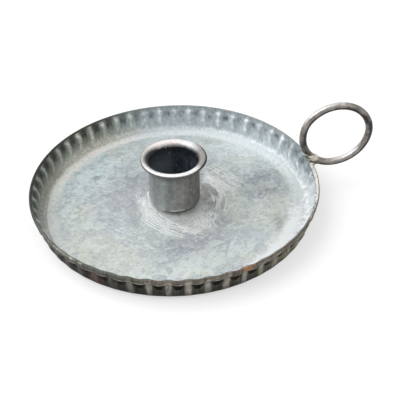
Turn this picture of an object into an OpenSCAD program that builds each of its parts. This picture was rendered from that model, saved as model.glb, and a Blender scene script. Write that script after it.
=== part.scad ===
// Chamberstick: a shallow fluted pan of galvanised sheet with a drawn steel
// candle cup at its centre and a round wire finger ring brazed to its hem.
// Millimetres. The origin is the centre of the pan's underside, +Z is up,
// and the ring stands over +X.

/* [Pan] */
// Outer diameter of the pan over its hem
pan_d = 144; // [120:1:180]
// Height of the pan from the table to the top of its hem
pan_h = 14.2; // [13:0.1:18]
// Thickness of the galvanised sheet
sheet_t = 0.6; // [0.5:0.05:0.8]
// Outside radius of the corner between the floor and the wall
corner_r = 4.5; // [3.5:0.1:5.5]
// Outward lean of the wall from upright, in degrees
wall_lean = 9.5; // [4:0.5:14]

/* [Hem] */
// Length of the hem that is folded down outside the wall, from the fold
hem_h = 2.4; // [1.6:0.1:3.2]
// Gap between the hem and the wall behind it
hem_gap = 0.3; // [0.2:0.05:0.6]

/* [Flutes] */
// Number of flutes pressed into the wall
flute_count = 51; // [40:1:56]
// Depth of a flute below the outside of the wall
flute_depth = 1.3; // [0.8:0.05:1.6]
// Radius of the tool that pressed the flutes
flute_r = 3; // [2.6:0.1:3.4]
// Clear band of wall between the nose of a flute and the fold of the hem
flute_band = 0.8; // [0.5:0.1:2]
// Place of the first flute round the pan, in degrees from the ring
flute_phase = 1.3; // [0:0.1:7]
// Error of the hand indexed spacing at its worst, in degrees
flute_wander = 1.4; // [0:0.1:2]

/* [Candle cup] */
// Diameter of the taper candle that the cup takes
candle_d = 22.2; // [20:0.1:24]
// Gap all round between the candle and the bore
candle_gap = 0.75; // [0.4:0.05:1]
// Height of the cup from the pan's floor to the crown of its lip
cup_h = 27.4; // [22:0.2:40]
// Thickness of the drawn steel of the cup
cup_t = 0.8; // [0.6:0.05:1]
// Outside radius of the corner round the foot of the cup
cup_corner_r = 4; // [3:0.1:5]
// Radius of the rounded lip, on its upper face
lip_r = 3; // [2.4:0.1:3.6]
// Angle past the crown at which the lip's edge stops
lip_roll = 37; // [20:1:60]
// Height of the solder seam in the crevice under the cup's corner
solder_h = 0.9; // [0.5:0.1:1.3]
// Depth of the solder seam, inwards from its face
solder_w = 2; // [1:0.1:2.4]

/* [Finger ring] */
// Inside diameter of the ring
finger_d = 31.1; // [26:0.1:38]
// Diameter of the ring's wire
wire_d = 3.7; // [3:0.1:4.5]
// Slope of the line from the hem's fold to the ring's centre, in degrees
ring_rise = 56.8; // [50:0.1:65]
// Sideways lean of the ring, in degrees
ring_lean = 4.3; // [-6:0.1:6]
// Turn of the ring away from the pan's radius, in degrees
ring_turn = -2.8; // [-6:0.1:6]
// Gap between the wire and the hem, which the braze fills
braze_gap = 0.1; // [0.05:0.05:0.3]
// Diameter of the bead of braze
braze_d = 5.4; // [4.8:0.1:6]

/* [Hidden] */
// Facets of the round things that are turned about the pan's axis
turned_fn = 204;
// Facets of the wire and of the bead of braze
small_fn = 48;
// Facets of the flute tool
tool_fn = 36;
// Flat steps round the corner between the floor and the wall
corner_steps = 8;
// How far a cutting shape runs past the face that it opens
past = 1;
// Flat steps round the fold of the hem
fold_steps = 8;
// Flat steps round the foot and the lip of the cup
cup_steps = 12;

// The fold of the hem turns about this point, half way across the gap
fold_r = sheet_t + hem_gap / 2;
fold_x = pan_d / 2 - fold_r;
fold_z = pan_h - fold_r;
// Where the corner's arc meets the floor, so that it runs on into the wall
corner_x = wall_outside(corner_r) - corner_r / cos(wall_lean);
flute_pitch = 360 / flute_count;
flute_top_z = fold_z - flute_band;

bore_r = candle_d / 2 + candle_gap;
cup_r = bore_r + cup_t;
cup_top_z = sheet_t + cup_h;
lip_x = bore_r + lip_r;
lip_z = cup_top_z - lip_r;
foot_x = cup_r - cup_corner_r;
foot_z = sheet_t + cup_corner_r;
// Radius at which the underside of the cup's corner is solder_h off the floor
solder_face_x = foot_x + sqrt(cup_corner_r * cup_corner_r - pow(cup_corner_r - solder_h, 2));

wire_r = wire_d / 2;
ring_r = finger_d / 2 + wire_r;
ring_reach = fold_r + braze_gap + wire_r + ring_r;
// Middle of the bead of braze, half way across the gap
braze_reach = fold_r + braze_gap / 2;
// Angle round the pan within which a flute's rib can meet the braze
braze_angle = asin((braze_d / 2 + flute_r + sheet_t) / fold_x);

// Angle of a flute round the pan, with the slow error of hand indexing
function flute_angle(i) =
    flute_phase + i * flute_pitch + flute_wander * sin(flute_phase + i * flute_pitch);

// Radius of the wall's outer face at a height
function wall_outside(z) =
    fold_x - hem_gap / 2 / cos(wall_lean) - (fold_z - z) * tan(wall_lean);

// Points along an arc round [x, z], from angle a to angle b in n steps
function arc_points(x, z, r, a, b, n) =
    [for (k = [0 : n]) let (t = a + (b - a) * k / n) [x + r * cos(t), z + r * sin(t)]];

// A point beside the fold: out from it square to the wall, and down along it
function beside_fold(out, down) = [
    fold_x + out * cos(wall_lean) - down * sin(wall_lean),
    fold_z - out * sin(wall_lean) - down * cos(wall_lean)
];

// Half section of the pan: floor, corner, wall and folded hem in one sheet
module pan_section() {
    polygon(concat(
        [[0, 0]],
        arc_points(corner_x, corner_r, corner_r, -90, -wall_lean, corner_steps),
        arc_points(fold_x, fold_z, hem_gap / 2, 180 - wall_lean, -wall_lean, fold_steps),
        [beside_fold(hem_gap / 2, hem_h)],
        [beside_fold(fold_r, hem_h)],
        arc_points(fold_x, fold_z, fold_r, -wall_lean, 180 - wall_lean, fold_steps),
        arc_points(corner_x, corner_r, corner_r - sheet_t, -wall_lean, -90, corner_steps),
        [[0, sheet_t]]
    ));
}

// Half section of all that lies inside the wall's outer face, less a skin
module filled_section(skin) {
    polygon(concat(
        [[0, skin]],
        arc_points(corner_x, corner_r, corner_r - skin, -90, -wall_lean, corner_steps),
        [[wall_outside(fold_z) - skin / cos(wall_lean), fold_z]],
        [[0, fold_z]]
    ));
}

// The round nosed tool that presses a flute, grown outwards by a thickness
module flute_tool(grow) {
    r = flute_r + grow;
    shank = flute_top_z + past - flute_r;
    translate([wall_outside(flute_top_z), 0, flute_top_z])
        rotate([0, wall_lean, 0])
            translate([flute_r - flute_depth, 0, -flute_top_z - past])
                rotate_extrude($fn = tool_fn)
                    intersection() {
                        union() {
                            square([r, shank]);
                            translate([0, shank])
                                circle(r = r, $fn = tool_fn);
                        }
                        square([r, shank + r]);
                    }
}

// The tools at all the flutes that lie within an angle of the ring
module flute_tools(grow, within = 180) {
    for (i = [0 : flute_count - 1])
        if (cos(flute_angle(i)) >= cos(within))
            rotate([0, 0, flute_angle(i)])
                flute_tool(grow);
}

// The ribs that the flutes raise inside the wall, filled in from behind
module ribs(within = 180) {
    intersection() {
        rotate_extrude($fn = turned_fn) filled_section(sheet_t / 2);
        flute_tools(sheet_t, within);
    }
}

// Pressed pan: the ribs are hollow from outside, and run up behind the hem
module drip_pan() {
    color([0.62, 0.66, 0.66])
        difference() {
            union() {
                rotate_extrude($fn = turned_fn) pan_section();
                ribs();
            }
            intersection() {
                rotate_extrude($fn = turned_fn) filled_section(-hem_gap / 2);
                flute_tools(0);
            }
        }
}

// Drawn cup with a rounded foot and a lip that is turned out and down
module candle_socket() {
    color([0.45, 0.46, 0.45])
        rotate_extrude($fn = turned_fn)
            polygon(concat(
                [[0, sheet_t]],
                arc_points(foot_x, foot_z, cup_corner_r, -90, 0, cup_steps),
                arc_points(lip_x, lip_z, lip_r - cup_t, 180, 90 - lip_roll, cup_steps),
                arc_points(lip_x, lip_z, lip_r, 90 - lip_roll, 180, cup_steps),
                arc_points(foot_x, foot_z, cup_corner_r - cup_t, 0, -90, cup_steps),
                [[0, sheet_t + cup_t]]
            ));
}

// Ring of solder in the crevice between the cup's corner and the pan
module socket_solder() {
    color([0.72, 0.73, 0.74])
        rotate_extrude($fn = turned_fn)
            difference() {
                translate([solder_face_x - solder_w, sheet_t])
                    square([solder_w, solder_h]);
                polygon(concat(
                    arc_points(foot_x, foot_z, cup_corner_r, -90, 0, cup_steps),
                    [[foot_x, foot_z]]
                ));
            }
}

// Places its children with the hem's fold as their origin and the ring on +X
module at_ring() {
    translate([fold_x, 0, fold_z])
        rotate([ring_lean, 0, ring_turn])
            children();
}

// The wire ring, in the plane of its own X and Z
module ring_wire() {
    at_ring()
        translate([ring_reach * cos(ring_rise), 0, ring_reach * sin(ring_rise)])
            rotate([90, 0, 0])
                rotate_extrude($fn = turned_fn)
                    translate([ring_r, 0])
                        circle(r = wire_r, $fn = small_fn);
}

// Round steel wire bent to a finger ring, with its ends hidden in the braze
module ring_handle() {
    color([0.55, 0.51, 0.48])
        ring_wire();
}

// Half section of the pan with its hem filled in, which braze can't get inside
module closed_hem_section() {
    half = (hem_gap + sheet_t) / 2;
    pan_section();
    polygon(concat(
        arc_points(fold_x, fold_z, half, 180 - wall_lean, -wall_lean, fold_steps),
        [beside_fold(half, hem_h)],
        [beside_fold(-half, hem_h)]
    ));
}

// Bead of braze that fills in between the wire and the hem
module handle_braze() {
    color([0.80, 0.76, 0.64])
        difference() {
            at_ring()
                translate([braze_reach * cos(ring_rise), 0, braze_reach * sin(ring_rise)])
                    sphere(r = braze_d / 2, $fn = small_fn);
            ring_wire();
            rotate_extrude($fn = turned_fn) closed_hem_section();
            ribs(braze_angle);
        }
}

drip_pan();
candle_socket();
socket_solder();
ring_handle();
handle_braze();
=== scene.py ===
"""An old galvanised chamberstick: its pieces, their finishes, and the studio that it stands in."""

import logging
import math
from dataclasses import dataclass, field
from enum import Enum

import bmesh
import bpy
import numpy as np
from mathutils import Matrix, Quaternion, Vector, noise


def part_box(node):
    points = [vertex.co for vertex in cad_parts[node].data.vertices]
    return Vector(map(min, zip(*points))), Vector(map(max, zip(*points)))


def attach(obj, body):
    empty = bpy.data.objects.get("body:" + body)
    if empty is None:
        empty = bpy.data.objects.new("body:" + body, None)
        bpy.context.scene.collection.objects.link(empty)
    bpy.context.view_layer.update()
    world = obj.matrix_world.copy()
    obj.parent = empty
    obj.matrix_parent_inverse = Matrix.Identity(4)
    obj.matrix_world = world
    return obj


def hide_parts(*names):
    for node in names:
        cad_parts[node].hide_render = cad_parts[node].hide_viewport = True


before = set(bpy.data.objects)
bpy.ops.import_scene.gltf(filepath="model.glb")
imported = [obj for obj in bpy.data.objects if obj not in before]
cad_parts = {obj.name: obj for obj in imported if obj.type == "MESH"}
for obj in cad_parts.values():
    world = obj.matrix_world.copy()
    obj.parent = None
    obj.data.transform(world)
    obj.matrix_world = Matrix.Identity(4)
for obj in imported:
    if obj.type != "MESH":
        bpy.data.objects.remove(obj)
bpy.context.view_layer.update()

LOG = logging.getLogger("chamberstick")
MM = 0.001
BODY = "root"
PICTURE_PX = 400


class Part(Enum):
    """The CAD nodes that the pieces here stand for."""

    PAN = "drip_pan"
    CUP = "candle_socket"
    SOLDER = "socket_solder"
    RING = "ring_handle"
    BRAZE = "handle_braze"


def linear(code: str, alpha: float = 1.0) -> tuple[float, float, float, float]:
    """Turns an sRGB colour into the linear one that a shader takes.

    Args:
        code: The colour as a hex value, such as "#A0B0C0".
        alpha: The fourth number of the result.

    Returns:
        Linear red, green, blue and alpha.
    """
    parts = [int(code[i:i + 2], 16) / 255 for i in (1, 3, 5)]
    red, green, blue = [c / 12.92 if c <= 0.04045 else ((c + 0.055) / 1.055) ** 2.4 for c in parts]
    return red, green, blue, alpha


def add(tree: bpy.types.NodeTree, kind: str, links: dict | None = None, out: int | str = 0, **settings):
    """Adds one node to a tree, with its settings and links.

    Args:
        tree: The tree that gets the node.
        kind: The node's type.
        links: Input names or numbers, each with a socket to link from or a value to set.
        out: The output that the caller wants.
        settings: The node's own settings.

    Returns:
        The output socket, or the node itself where it has no outputs.
    """
    node = tree.nodes.new(kind)
    for name, value in settings.items():
        setattr(node, name, value)
    for key, value in (links or {}).items():
        if isinstance(value, bpy.types.NodeSocket):
            tree.links.new(value, node.inputs[key])
        else:
            node.inputs[key].default_value = value
    return node.outputs[out] if len(node.outputs) else node


def smooth_step(low: float, high: float, value: float) -> float:
    """Eases from 0 at low to 1 at high."""
    t = min(max((value - low) / (high - low), 0.0), 1.0)
    return t * t * (3 - 2 * t)


def arc(centre: tuple[float, float], radius: float, start: float, end: float, steps: int) -> list[tuple[float, float]]:
    """Points along an arc.

    Args:
        centre: The arc's centre, as radius and height.
        radius: The arc's own radius.
        start: The first angle, in degrees.
        end: The last angle, in degrees.
        steps: How many steps the arc is cut into.

    Returns:
        The points, with both ends.
    """
    angles = [math.radians(start + (end - start) * k / steps) for k in range(steps + 1)]
    return [(centre[0] + radius * math.cos(a), centre[1] + radius * math.sin(a)) for a in angles]


@dataclass
class Station:
    """One point of a turned section, in millimetres, with the marks that the pressing and the finish read."""

    radius: float
    height: float
    press: float = 0.0
    lip: float = 0.0
    outer: float = 0.0
    edge: float = 0.0
    leg: float = 0.0


def turn_section(name: str, stations: list[Station], steps: int) -> bpy.types.Object:
    """Turns a section about the vertical axis into a closed mesh.

    The section starts and ends on the axis, and runs out along the underside and back over the top.

    Args:
        name: The object's name.
        stations: The section's points.
        steps: How many steps make a full turn.

    Returns:
        The object, with each station's marks as attributes of its points.
    """
    inner = stations[1:-1]
    angles = np.arange(steps) * 2 * np.pi / steps
    radii = np.array([s.radius for s in inner]) * MM
    heights = np.array([s.height for s in inner]) * MM
    x = np.outer(radii, np.cos(angles))
    y = np.outer(radii, np.sin(angles))
    z = np.repeat(heights[:, None], steps, axis=1)
    points = np.stack([x, y, z], axis=2).reshape(-1, 3)
    ends = [[0, 0, stations[0].height * MM], [0, 0, stations[-1].height * MM]]
    points = np.vstack([points, ends])
    bottom, top = len(points) - 2, len(points) - 1
    faces = []
    for k in range(len(inner) - 1):
        for j in range(steps):
            n = (j + 1) % steps
            faces.append((k * steps + j, k * steps + n, (k + 1) * steps + n, (k + 1) * steps + j))
    last = (len(inner) - 1) * steps
    for j in range(steps):
        n = (j + 1) % steps
        faces.append((bottom, n, j))
        faces.append((top, last + j, last + n))
    mesh = bpy.data.meshes.new(name)
    mesh.from_pydata(points.tolist(), [], faces)
    for mark in ("press", "lip", "outer", "edge", "leg"):
        values = np.repeat([getattr(s, mark) for s in inner], steps)
        values = np.append(values, [getattr(stations[0], mark), getattr(stations[-1], mark)])
        mesh.attributes.new(mark, "FLOAT", "POINT").data.foreach_set("value", values.astype(np.float32))
    mesh.shade_smooth()
    return place(name, mesh)


def place(name: str, mesh: bpy.types.Mesh) -> bpy.types.Object:
    """Puts a mesh in the scene as an object at the origin."""
    piece = bpy.data.objects.new(name, mesh)
    bpy.context.scene.collection.objects.link(piece)
    return piece


def new_shape_tree(name: str, inputs: dict[str, str]) -> tuple[bpy.types.NodeTree, bpy.types.Node]:
    """Starts a geometry tree.

    Args:
        name: The tree's name.
        inputs: Each input's name and socket type.

    Returns:
        The tree and its input node.
    """
    tree = bpy.data.node_groups.new(name, "GeometryNodeTree")
    tree.interface.new_socket(name="Geometry", in_out="INPUT", socket_type="NodeSocketGeometry")
    for label, kind in inputs.items():
        tree.interface.new_socket(name=label, in_out="INPUT", socket_type=kind)
    tree.interface.new_socket(name="Geometry", in_out="OUTPUT", socket_type="NodeSocketGeometry")
    return tree, tree.nodes.new("NodeGroupInput")


def end_shape_tree(tree: bpy.types.NodeTree, geometry: bpy.types.NodeSocket, material: bpy.types.Material) -> None:
    """Ends a geometry tree with real geometry in one material."""
    real = add(tree, "GeometryNodeRealizeInstances", {"Geometry": geometry})
    dressed = add(tree, "GeometryNodeSetMaterial", {"Geometry": real, "Material": material})
    add(tree, "NodeGroupOutput", {"Geometry": dressed})


def run_shape_tree(piece: bpy.types.Object, tree: bpy.types.NodeTree, values: dict[str, float]) -> None:
    """Runs a geometry tree on an object and keeps the plain mesh that it gives.

    Args:
        piece: The object.
        tree: The tree.
        values: The value of each named input.
    """
    modifier = piece.modifiers.new(tree.name, "NODES")
    modifier.node_group = tree
    for item in tree.interface.items_tree:
        if item.item_type == "SOCKET" and item.in_out == "INPUT" and item.name in values:
            modifier[item.identifier] = values[item.name]
    graph = bpy.context.evaluated_depsgraph_get()
    mesh = bpy.data.meshes.new_from_object(
        piece.evaluated_get(graph), preserve_all_data_layers=True, depsgraph=graph
    )
    piece.modifiers.clear()
    piece.data = mesh
    mesh.name = piece.name
    mesh.shade_smooth()


def finish_piece(piece: bpy.types.Object, part: Part) -> None:
    """Rides a piece on the body and stands it for its CAD node."""
    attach(piece, BODY)
    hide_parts(part.value)
    LOG.info("%s: %d faces, stands for %s", piece.name, len(piece.data.polygons), part.value)


@dataclass(frozen=True)
class Patch:
    """A soft patch of another colour on the pan's floor, in millimetres and degrees."""

    x: float
    y: float
    length: float
    width: float
    turn: float
    colour: str
    strength: float


@dataclass(frozen=True)
class Scouring:
    """A patch of fine scratches on the pan's floor, straight or round the cup, in millimetres and degrees."""

    x: float
    y: float
    length: float
    width: float
    turn: float
    pitch: float
    cover: float
    strength: float
    round: bool = False


@dataclass(frozen=True)
class Stroke:
    """A bent scratch on the floor, through three places in millimetres, with others beside it."""

    start: tuple[float, float]
    bend: tuple[float, float]
    end: tuple[float, float]
    width: float = 0.4
    strength: float = 0.8
    count: int = 1
    pitch: float = 1.2

    def circle(self) -> tuple[Vector, float]:
        """Finds the circle through the three places.

        Returns:
            Its centre and its radius.
        """
        a, b, c = Vector(self.start), Vector(self.bend), Vector(self.end)
        u, v = b - a, c - a
        area = 2 * (u.x * v.y - u.y * v.x)
        x = (v.y * u.length_squared - u.y * v.length_squared) / area
        y = (u.x * v.length_squared - v.x * u.length_squared) / area
        return a + Vector((x, y)), Vector((x, y)).length


@dataclass(frozen=True)
class Survey:
    """Sockets that say where a point of the pan lies, which all its paints read."""

    place_mm: bpy.types.NodeSocket
    side: bpy.types.NodeSocket
    radius: bpy.types.NodeSocket
    height: bpy.types.NodeSocket
    flute: bpy.types.NodeSocket
    wave: bpy.types.NodeSocket
    skew: bpy.types.NodeSocket
    lot: bpy.types.NodeSocket

    def towards(self, tree: bpy.types.NodeTree, angle: float) -> bpy.types.NodeSocket:
        """Says how far a point lies towards an angle round the pan, from -1 to 1."""
        way = (math.cos(math.radians(angle)), math.sin(math.radians(angle)), 0.0)
        return add(tree, "ShaderNodeVectorMath", {0: self.side, 1: way}, "Value", operation="DOT_PRODUCT")


class Finish:
    """A surface finish: it starts a material that a subclass fills with nodes."""

    title: str

    def start(self) -> tuple[bpy.types.Material, bpy.types.NodeTree, bpy.types.Node]:
        """Starts the material.

        Returns:
            The material, its tree and its shader node.
        """
        material = bpy.data.materials.new(self.title)
        material.use_nodes = True
        return material, material.node_tree, material.node_tree.nodes["Principled BSDF"]

    @staticmethod
    def survey(tree: bpy.types.NodeTree) -> Survey:
        """Measures where a point lies, in millimetres.

        Args:
            tree: The material's tree.

        Returns:
            The sockets.
        """
        place_m = add(tree, "ShaderNodeTexCoord", out="Object")
        place_mm = add(tree, "ShaderNodeVectorMath", {0: place_m, 3: 1 / MM}, operation="SCALE")
        flat = add(tree, "ShaderNodeVectorMath", {0: place_mm, 1: (1, 1, 0)}, operation="MULTIPLY")
        side = add(tree, "ShaderNodeVectorMath", {0: flat}, operation="NORMALIZE")
        radius = add(tree, "ShaderNodeVectorMath", {0: flat}, "Value", operation="LENGTH")
        height = add(tree, "ShaderNodeSeparateXYZ", {0: place_mm}, "Z")
        marks = [add(tree, "ShaderNodeAttribute", out="Fac", attribute_name=n) for n in ("flute", "wave", "skew", "lot")]
        return Survey(place_mm, side, radius, height, *marks)

    @staticmethod
    def relief(tree: bpy.types.NodeTree, heights: list[tuple[bpy.types.NodeSocket, float]]) -> bpy.types.NodeSocket:
        """Stacks bumps on each other.

        Args:
            tree: The material's tree.
            heights: Each height from 0 to 1, with its depth in millimetres.

        Returns:
            The normal.
        """
        normal = None
        for height, depth in heights:
            links = {"Height": height, "Distance": depth * MM, "Strength": 1.0}
            if normal is not None:
                links["Normal"] = normal
            normal = add(tree, "ShaderNodeBump", links)
        return normal


@dataclass(frozen=True)
class GalvanisedSheet(Finish):
    """Hot dip galvanised sheet steel, pressed and dulled with age.

    The zinc froze in spangles a few millimetres across, which tint the floor in soft patches, and a few patches
    stand for painted shadow and painted light. The wall's ribs are pale, partly rubbed and partly painted
    highlight, and its hollows are darker. One side of the wall is darkened with tarnish and painted shade and
    another is painted lighter. Outside the zinc is nearly black with dirt and painted shade, with a painted
    shadow under the hem.
    """

    title = "galvanised sheet, hot dipped, aged"
    spangle_mm: float = 5.5
    patches: tuple[Patch, ...] = (
        # A light patch by the back left wall, lightened as painted light where the wall's shade falls.
        Patch(-44.0, 35.0, 30.0, 18.0, 55, "#CBDCE0", 0.85),
        Patch(-18.5, 15.0, 19.0, 12.0, 65, "#9EA4AF", 0.85),
        Patch(-30.0, 2.0, 20.0, 15.0, 90, "#B5B9C1", 0.75),
        Patch(47.5, 1.5, 16.0, 12.5, 82, "#9298A0", 0.85),
        Patch(21.0, 20.0, 11.0, 8.0, 60, "#959B9D", 0.9),
        Patch(19.0, -17.0, 11.0, 9.0, 40, "#A2A9A6", 0.7),
        # A dark tan patch to the right of the cup, partly tint and partly the cup's painted shadow.
        Patch(18.0, 0.5, 12.0, 6.5, 100, "#8F8A81", 0.9),
        Patch(43.0, 38.0, 20.0, 13.0, -40, "#E6EEEF", 0.9),
        Patch(8.0, 55.0, 26.0, 8.0, 0, "#C4CFD4", 0.6),
        Patch(44.0, -18.0, 16.0, 12.0, 60, "#D1D5CC", 0.7),
        Patch(-42.0, -34.0, 24.0, 15.0, -40, "#D2D6CB", 0.8),
        Patch(-14.0, -54.0, 32.0, 9.0, 3, "#DFE5DF", 0.85),
        Patch(41.0, -43.0, 22.0, 7.0, 42, "#E2E8E7", 0.6),
        Patch(4.0, -13.8, 10.0, 2.8, 8, "#E6E8EA", 0.7),
        Patch(8.0, -23.0, 5.0, 2.4, -25, "#E6E8EA", 0.65),
        # A white strip along the front right corner, partly pale zinc and partly painted light.
        Patch(46.0, -38.5, 27.0, 4.6, 41, "#FFFDF8", 1.0),
        Patch(-48.0, -25.0, 14.0, 8.0, -60, "#D6DAD2", 0.6),
        Patch(60.0, -4.0, 12.0, 6.0, 90, "#C6CBCA", 0.5),
        Patch(-57.0, 0.0, 14.0, 6.0, 90, "#CDD7D4", 0.7),
        Patch(3.0, -32.5, 19.0, 9.0, 8, "#A3A7B0", 0.8),
        Patch(-15.5, -3.0, 9.5, 4.0, 100, "#DADDDD", 0.45),
        Patch(-6.5, -13.0, 9.0, 3.0, -52, "#CFD3D5", 0.3),
        Patch(3.0, -20.0, 12.0, 4.0, -22, "#CDD0D3", 0.4),
        Patch(23.0, 10.0, 9.0, 3.5, -62, "#C6C7C3", 0.35),
        Patch(25.0, 11.5, 7.0, 4.0, 120, "#C6C8BE", 0.6),
        Patch(-36.9, 28.5, 3.6, 2.2, 10, "#87908F", 0.8),
        Patch(46.2, -28.2, 7.5, 3.2, 75, "#A3AAA2", 0.8),
    )
    scourings: tuple[Scouring, ...] = (
        Scouring(-14.8, 0.0, 13.0, 4.2, 98, 0.75, 0.45, 1.0),
        Scouring(-9.5, -13.0, 12.0, 4.0, -50, 0.9, 0.52, 0.75),
        Scouring(-2.0, -21.5, 15.0, 5.0, -33, 1.1, 0.52, 0.75),
        Scouring(5.0, -21.0, 11.0, 6.0, 24, 1.1, 0.53, 0.9),
        Scouring(13.0, -17.0, 10.0, 7.0, 75, 0.9, 0.5, 0.9),
        Scouring(23.5, 8.0, 14.0, 5.0, -65, 0.9, 0.5, 0.9, True),
        Scouring(27.0, 14.0, 18.0, 7.0, -55, 1.3, 0.52, 0.6),
        Scouring(22.0, -6.0, 12.0, 6.0, -75, 0.9, 0.52, 0.8, True),
        Scouring(-3.0, -16.0, 13.0, 5.0, -32, 0.9, 0.53, 0.6, True),
        Scouring(-24.0, -24.0, 22.0, 8.0, -46, 1.2, 0.56, 0.5),
        Scouring(5.0, -10.0, 60.0, 60.0, 25, 1.1, 0.6, 0.35),
        Scouring(-5.0, 10.0, 60.0, 60.0, -55, 1.1, 0.62, 0.35),
    )
    strokes: tuple[Stroke, ...] = (
        Stroke((-12.5, 10.5), (-13.2, 1.5), (-10.6, -7.0), 0.55, 1.0),
        Stroke((-10.6, -7.0), (-6.2, -14.2), (1.5, -23.6), 0.5, 1.0),
        Stroke((-14.3, 8.3), (-15.2, 0.9), (-13.8, -7.6), 0.45, 0.7),
        Stroke((-13.8, -7.6), (-11.2, -12.6), (-8.1, -16.0), 0.5, 0.7, 2, 1.3),
        Stroke((-19.1, 1.8), (-17.2, 4.7), (-15.3, 6.8), 0.9, 0.7),
        Stroke((-17.8, -1.0), (-17.0, -6.5), (-15.2, -12.0), 1.2, 0.5),
        Stroke((-8.9, -20.5), (-4.8, -24.0), (-0.3, -27.7), 0.5, 0.8, 2, 1.5),
        Stroke((-11.7, -2.4), (-7.9, -8.8), (-1.4, -12.2), 0.6, 0.8),
        Stroke((17.9, 17.0), (24.2, 1.4), (19.0, -10.1), 0.7, 0.7),
        Stroke((16.0, 12.9), (21.4, 9.8), (23.7, 4.1), 0.5, 0.6, 3, 1.5),
        Stroke((19.7, 17.5), (24.7, 10.9), (28.3, 3.0), 0.6, 0.6, 2, 1.6),
        Stroke((6.5, -14.6), (6.2, -18.0), (6.4, -21.6), 0.7, 0.7),
        Stroke((10.4, -13.0), (10.3, -18.6), (12.0, -23.3), 0.7, 0.7, 2, 1.9),
        Stroke((13.7, -13.0), (15.9, -13.8), (17.3, -16.6), 0.5, 0.7),
        Stroke((17.3, -16.6), (16.3, -18.3), (14.8, -19.6), 0.5, 0.9),
        Stroke((1.6, -20.5), (4.2, -24.4), (7.5, -23.4), 0.5, 0.8, 2, 1.4),
        Stroke((1.8, -24.4), (3.3, -27.0), (6.6, -25.5), 0.5, 0.8),
        Stroke((21.9, 25.4), (27.5, 17.4), (33.6, 7.1), 0.5, 0.45, 3, 2.1),
        Stroke((-13.0, -4.0), (-9.6, -12.4), (-2.4, -19.0), 0.3, 0.95, 3, 1.5),
        Stroke((-16.5, -9.0), (-11.0, -17.5), (-3.5, -24.5), 0.3, 0.9, 3, 1.6),
        Stroke((-6.0, -18.0), (1.0, -23.0), (8.5, -26.5), 0.3, 0.9, 2, 1.5),
        Stroke((17.0, 14.5), (22.3, 7.0), (22.8, -2.0), 0.35, 0.85, 2, 2.3),
        Stroke((23.0, 6.0), (22.6, -3.0), (18.5, -11.5), 0.35, 0.9, 1, 1.7),
        Stroke((9.0, -13.5), (12.5, -17.5), (13.5, -22.0), 0.35, 0.9, 2, 1.8),
    )

    def build(self) -> bpy.types.Material:
        """Builds the material.

        Returns:
            The material.
        """
        material, tree, shader = self.start()
        survey = self.survey(tree)
        outer = add(tree, "ShaderNodeAttribute", out="Fac", attribute_name="outer")
        low = add(tree, "ShaderNodeMath", {0: survey.height, 1: 1.6}, operation="LESS_THAN")
        wiped = add(tree, "ShaderNodeMath", {0: 1.0, 1: outer}, operation="SUBTRACT")
        wiped = add(tree, "ShaderNodeMath", {0: wiped, 1: low}, operation="MULTIPLY")
        scratch = add(tree, "ShaderNodeMath", {0: self.scratch_mask(tree, survey), 1: wiped}, operation="MULTIPLY")
        floor = self.floor_colour(tree, survey)
        floor = add(tree, "ShaderNodeMix", {0: scratch, 6: floor, 7: linear("#F8FAFA")}, 2, data_type="RGBA")
        inside = self.wall_colour(tree, survey, floor)
        outside = self.outside_colour(tree, survey)
        colour = add(tree, "ShaderNodeMix", {0: outer, 6: inside, 7: outside}, 2, data_type="RGBA")
        grain = add(tree, "ShaderNodeTexNoise", {"Vector": survey.place_mm, "Scale": 1.3, "Detail": 4.0}, "Fac")
        rough = add(tree, "ShaderNodeMapRange", {0: grain, 1: 0.3, 2: 0.7, 3: 0.45, 4: 0.62})
        tree.links.new(colour, shader.inputs["Base Color"])
        dull = add(tree, "ShaderNodeMapRange", {0: outer, 1: 0.0, 2: 1.0, 3: 0.5, 4: 0.1})
        tree.links.new(rough, shader.inputs["Roughness"])
        tree.links.new(dull, shader.inputs["Specular IOR Level"])
        shader.inputs["Metallic"].default_value = 0.4
        tree.links.new(self.relief(tree, [(grain, 0.04), (scratch, 0.06)]), shader.inputs["Normal"])
        return material

    def floor_colour(self, tree: bpy.types.NodeTree, survey: Survey) -> bpy.types.NodeSocket:
        """Paints the zinc of the floor: broad tones, patches, spangles, mottling, stains and specks.

        Args:
            tree: The material's tree.
            survey: Where a point lies.

        Returns:
            The colour.
        """
        place_mm = survey.place_mm
        wide = add(tree, "ShaderNodeTexNoise", {"Vector": place_mm, "Scale": 0.05, "Detail": 4.0}, "Fac")
        colour = add(tree, "ShaderNodeValToRGB", {"Fac": wide})
        stops = colour.node.color_ramp.elements
        for position, code in ((0.36, "#B9C2C6"), (0.46, "#C1C9CC"), (0.55, "#C6CDCD"), (0.66, "#CCD0C8")):
            stops.new(position).color = linear(code)
        stops.remove(stops[0])
        stops.remove(stops[-1])
        for patch in self.patches:
            mask = self.patch_mask(tree, survey, patch)
            mask = add(tree, "ShaderNodeMath", {0: mask, 1: patch.strength}, operation="MULTIPLY")
            links = {0: mask, 6: colour, 7: linear(patch.colour)}
            colour = add(tree, "ShaderNodeMix", links, 2, data_type="RGBA")
        bend = add(tree, "ShaderNodeTexNoise", {"Vector": place_mm, "Scale": 0.3, "Detail": 4.0}, "Color")
        bent = add(tree, "ShaderNodeVectorMath", {0: bend, 1: (3.0, 3.0, 3.0), 2: place_mm}, operation="MULTIPLY_ADD")
        cells = add(tree, "ShaderNodeTexVoronoi", {"Vector": bent, "Scale": 1 / self.spangle_mm}, "Color")
        split = add(tree, "ShaderNodeSeparateColor", {0: cells})
        small = add(tree, "ShaderNodeTexVoronoi", {"Vector": bent, "Scale": 2.4 / self.spangle_mm}, "Color")
        small = add(tree, "ShaderNodeSeparateColor", {0: small})
        tones = [(split, 0.0, 1.0, 0.97, 1.03), (small, 0.0, 1.0, 0.97, 1.03)]
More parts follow.
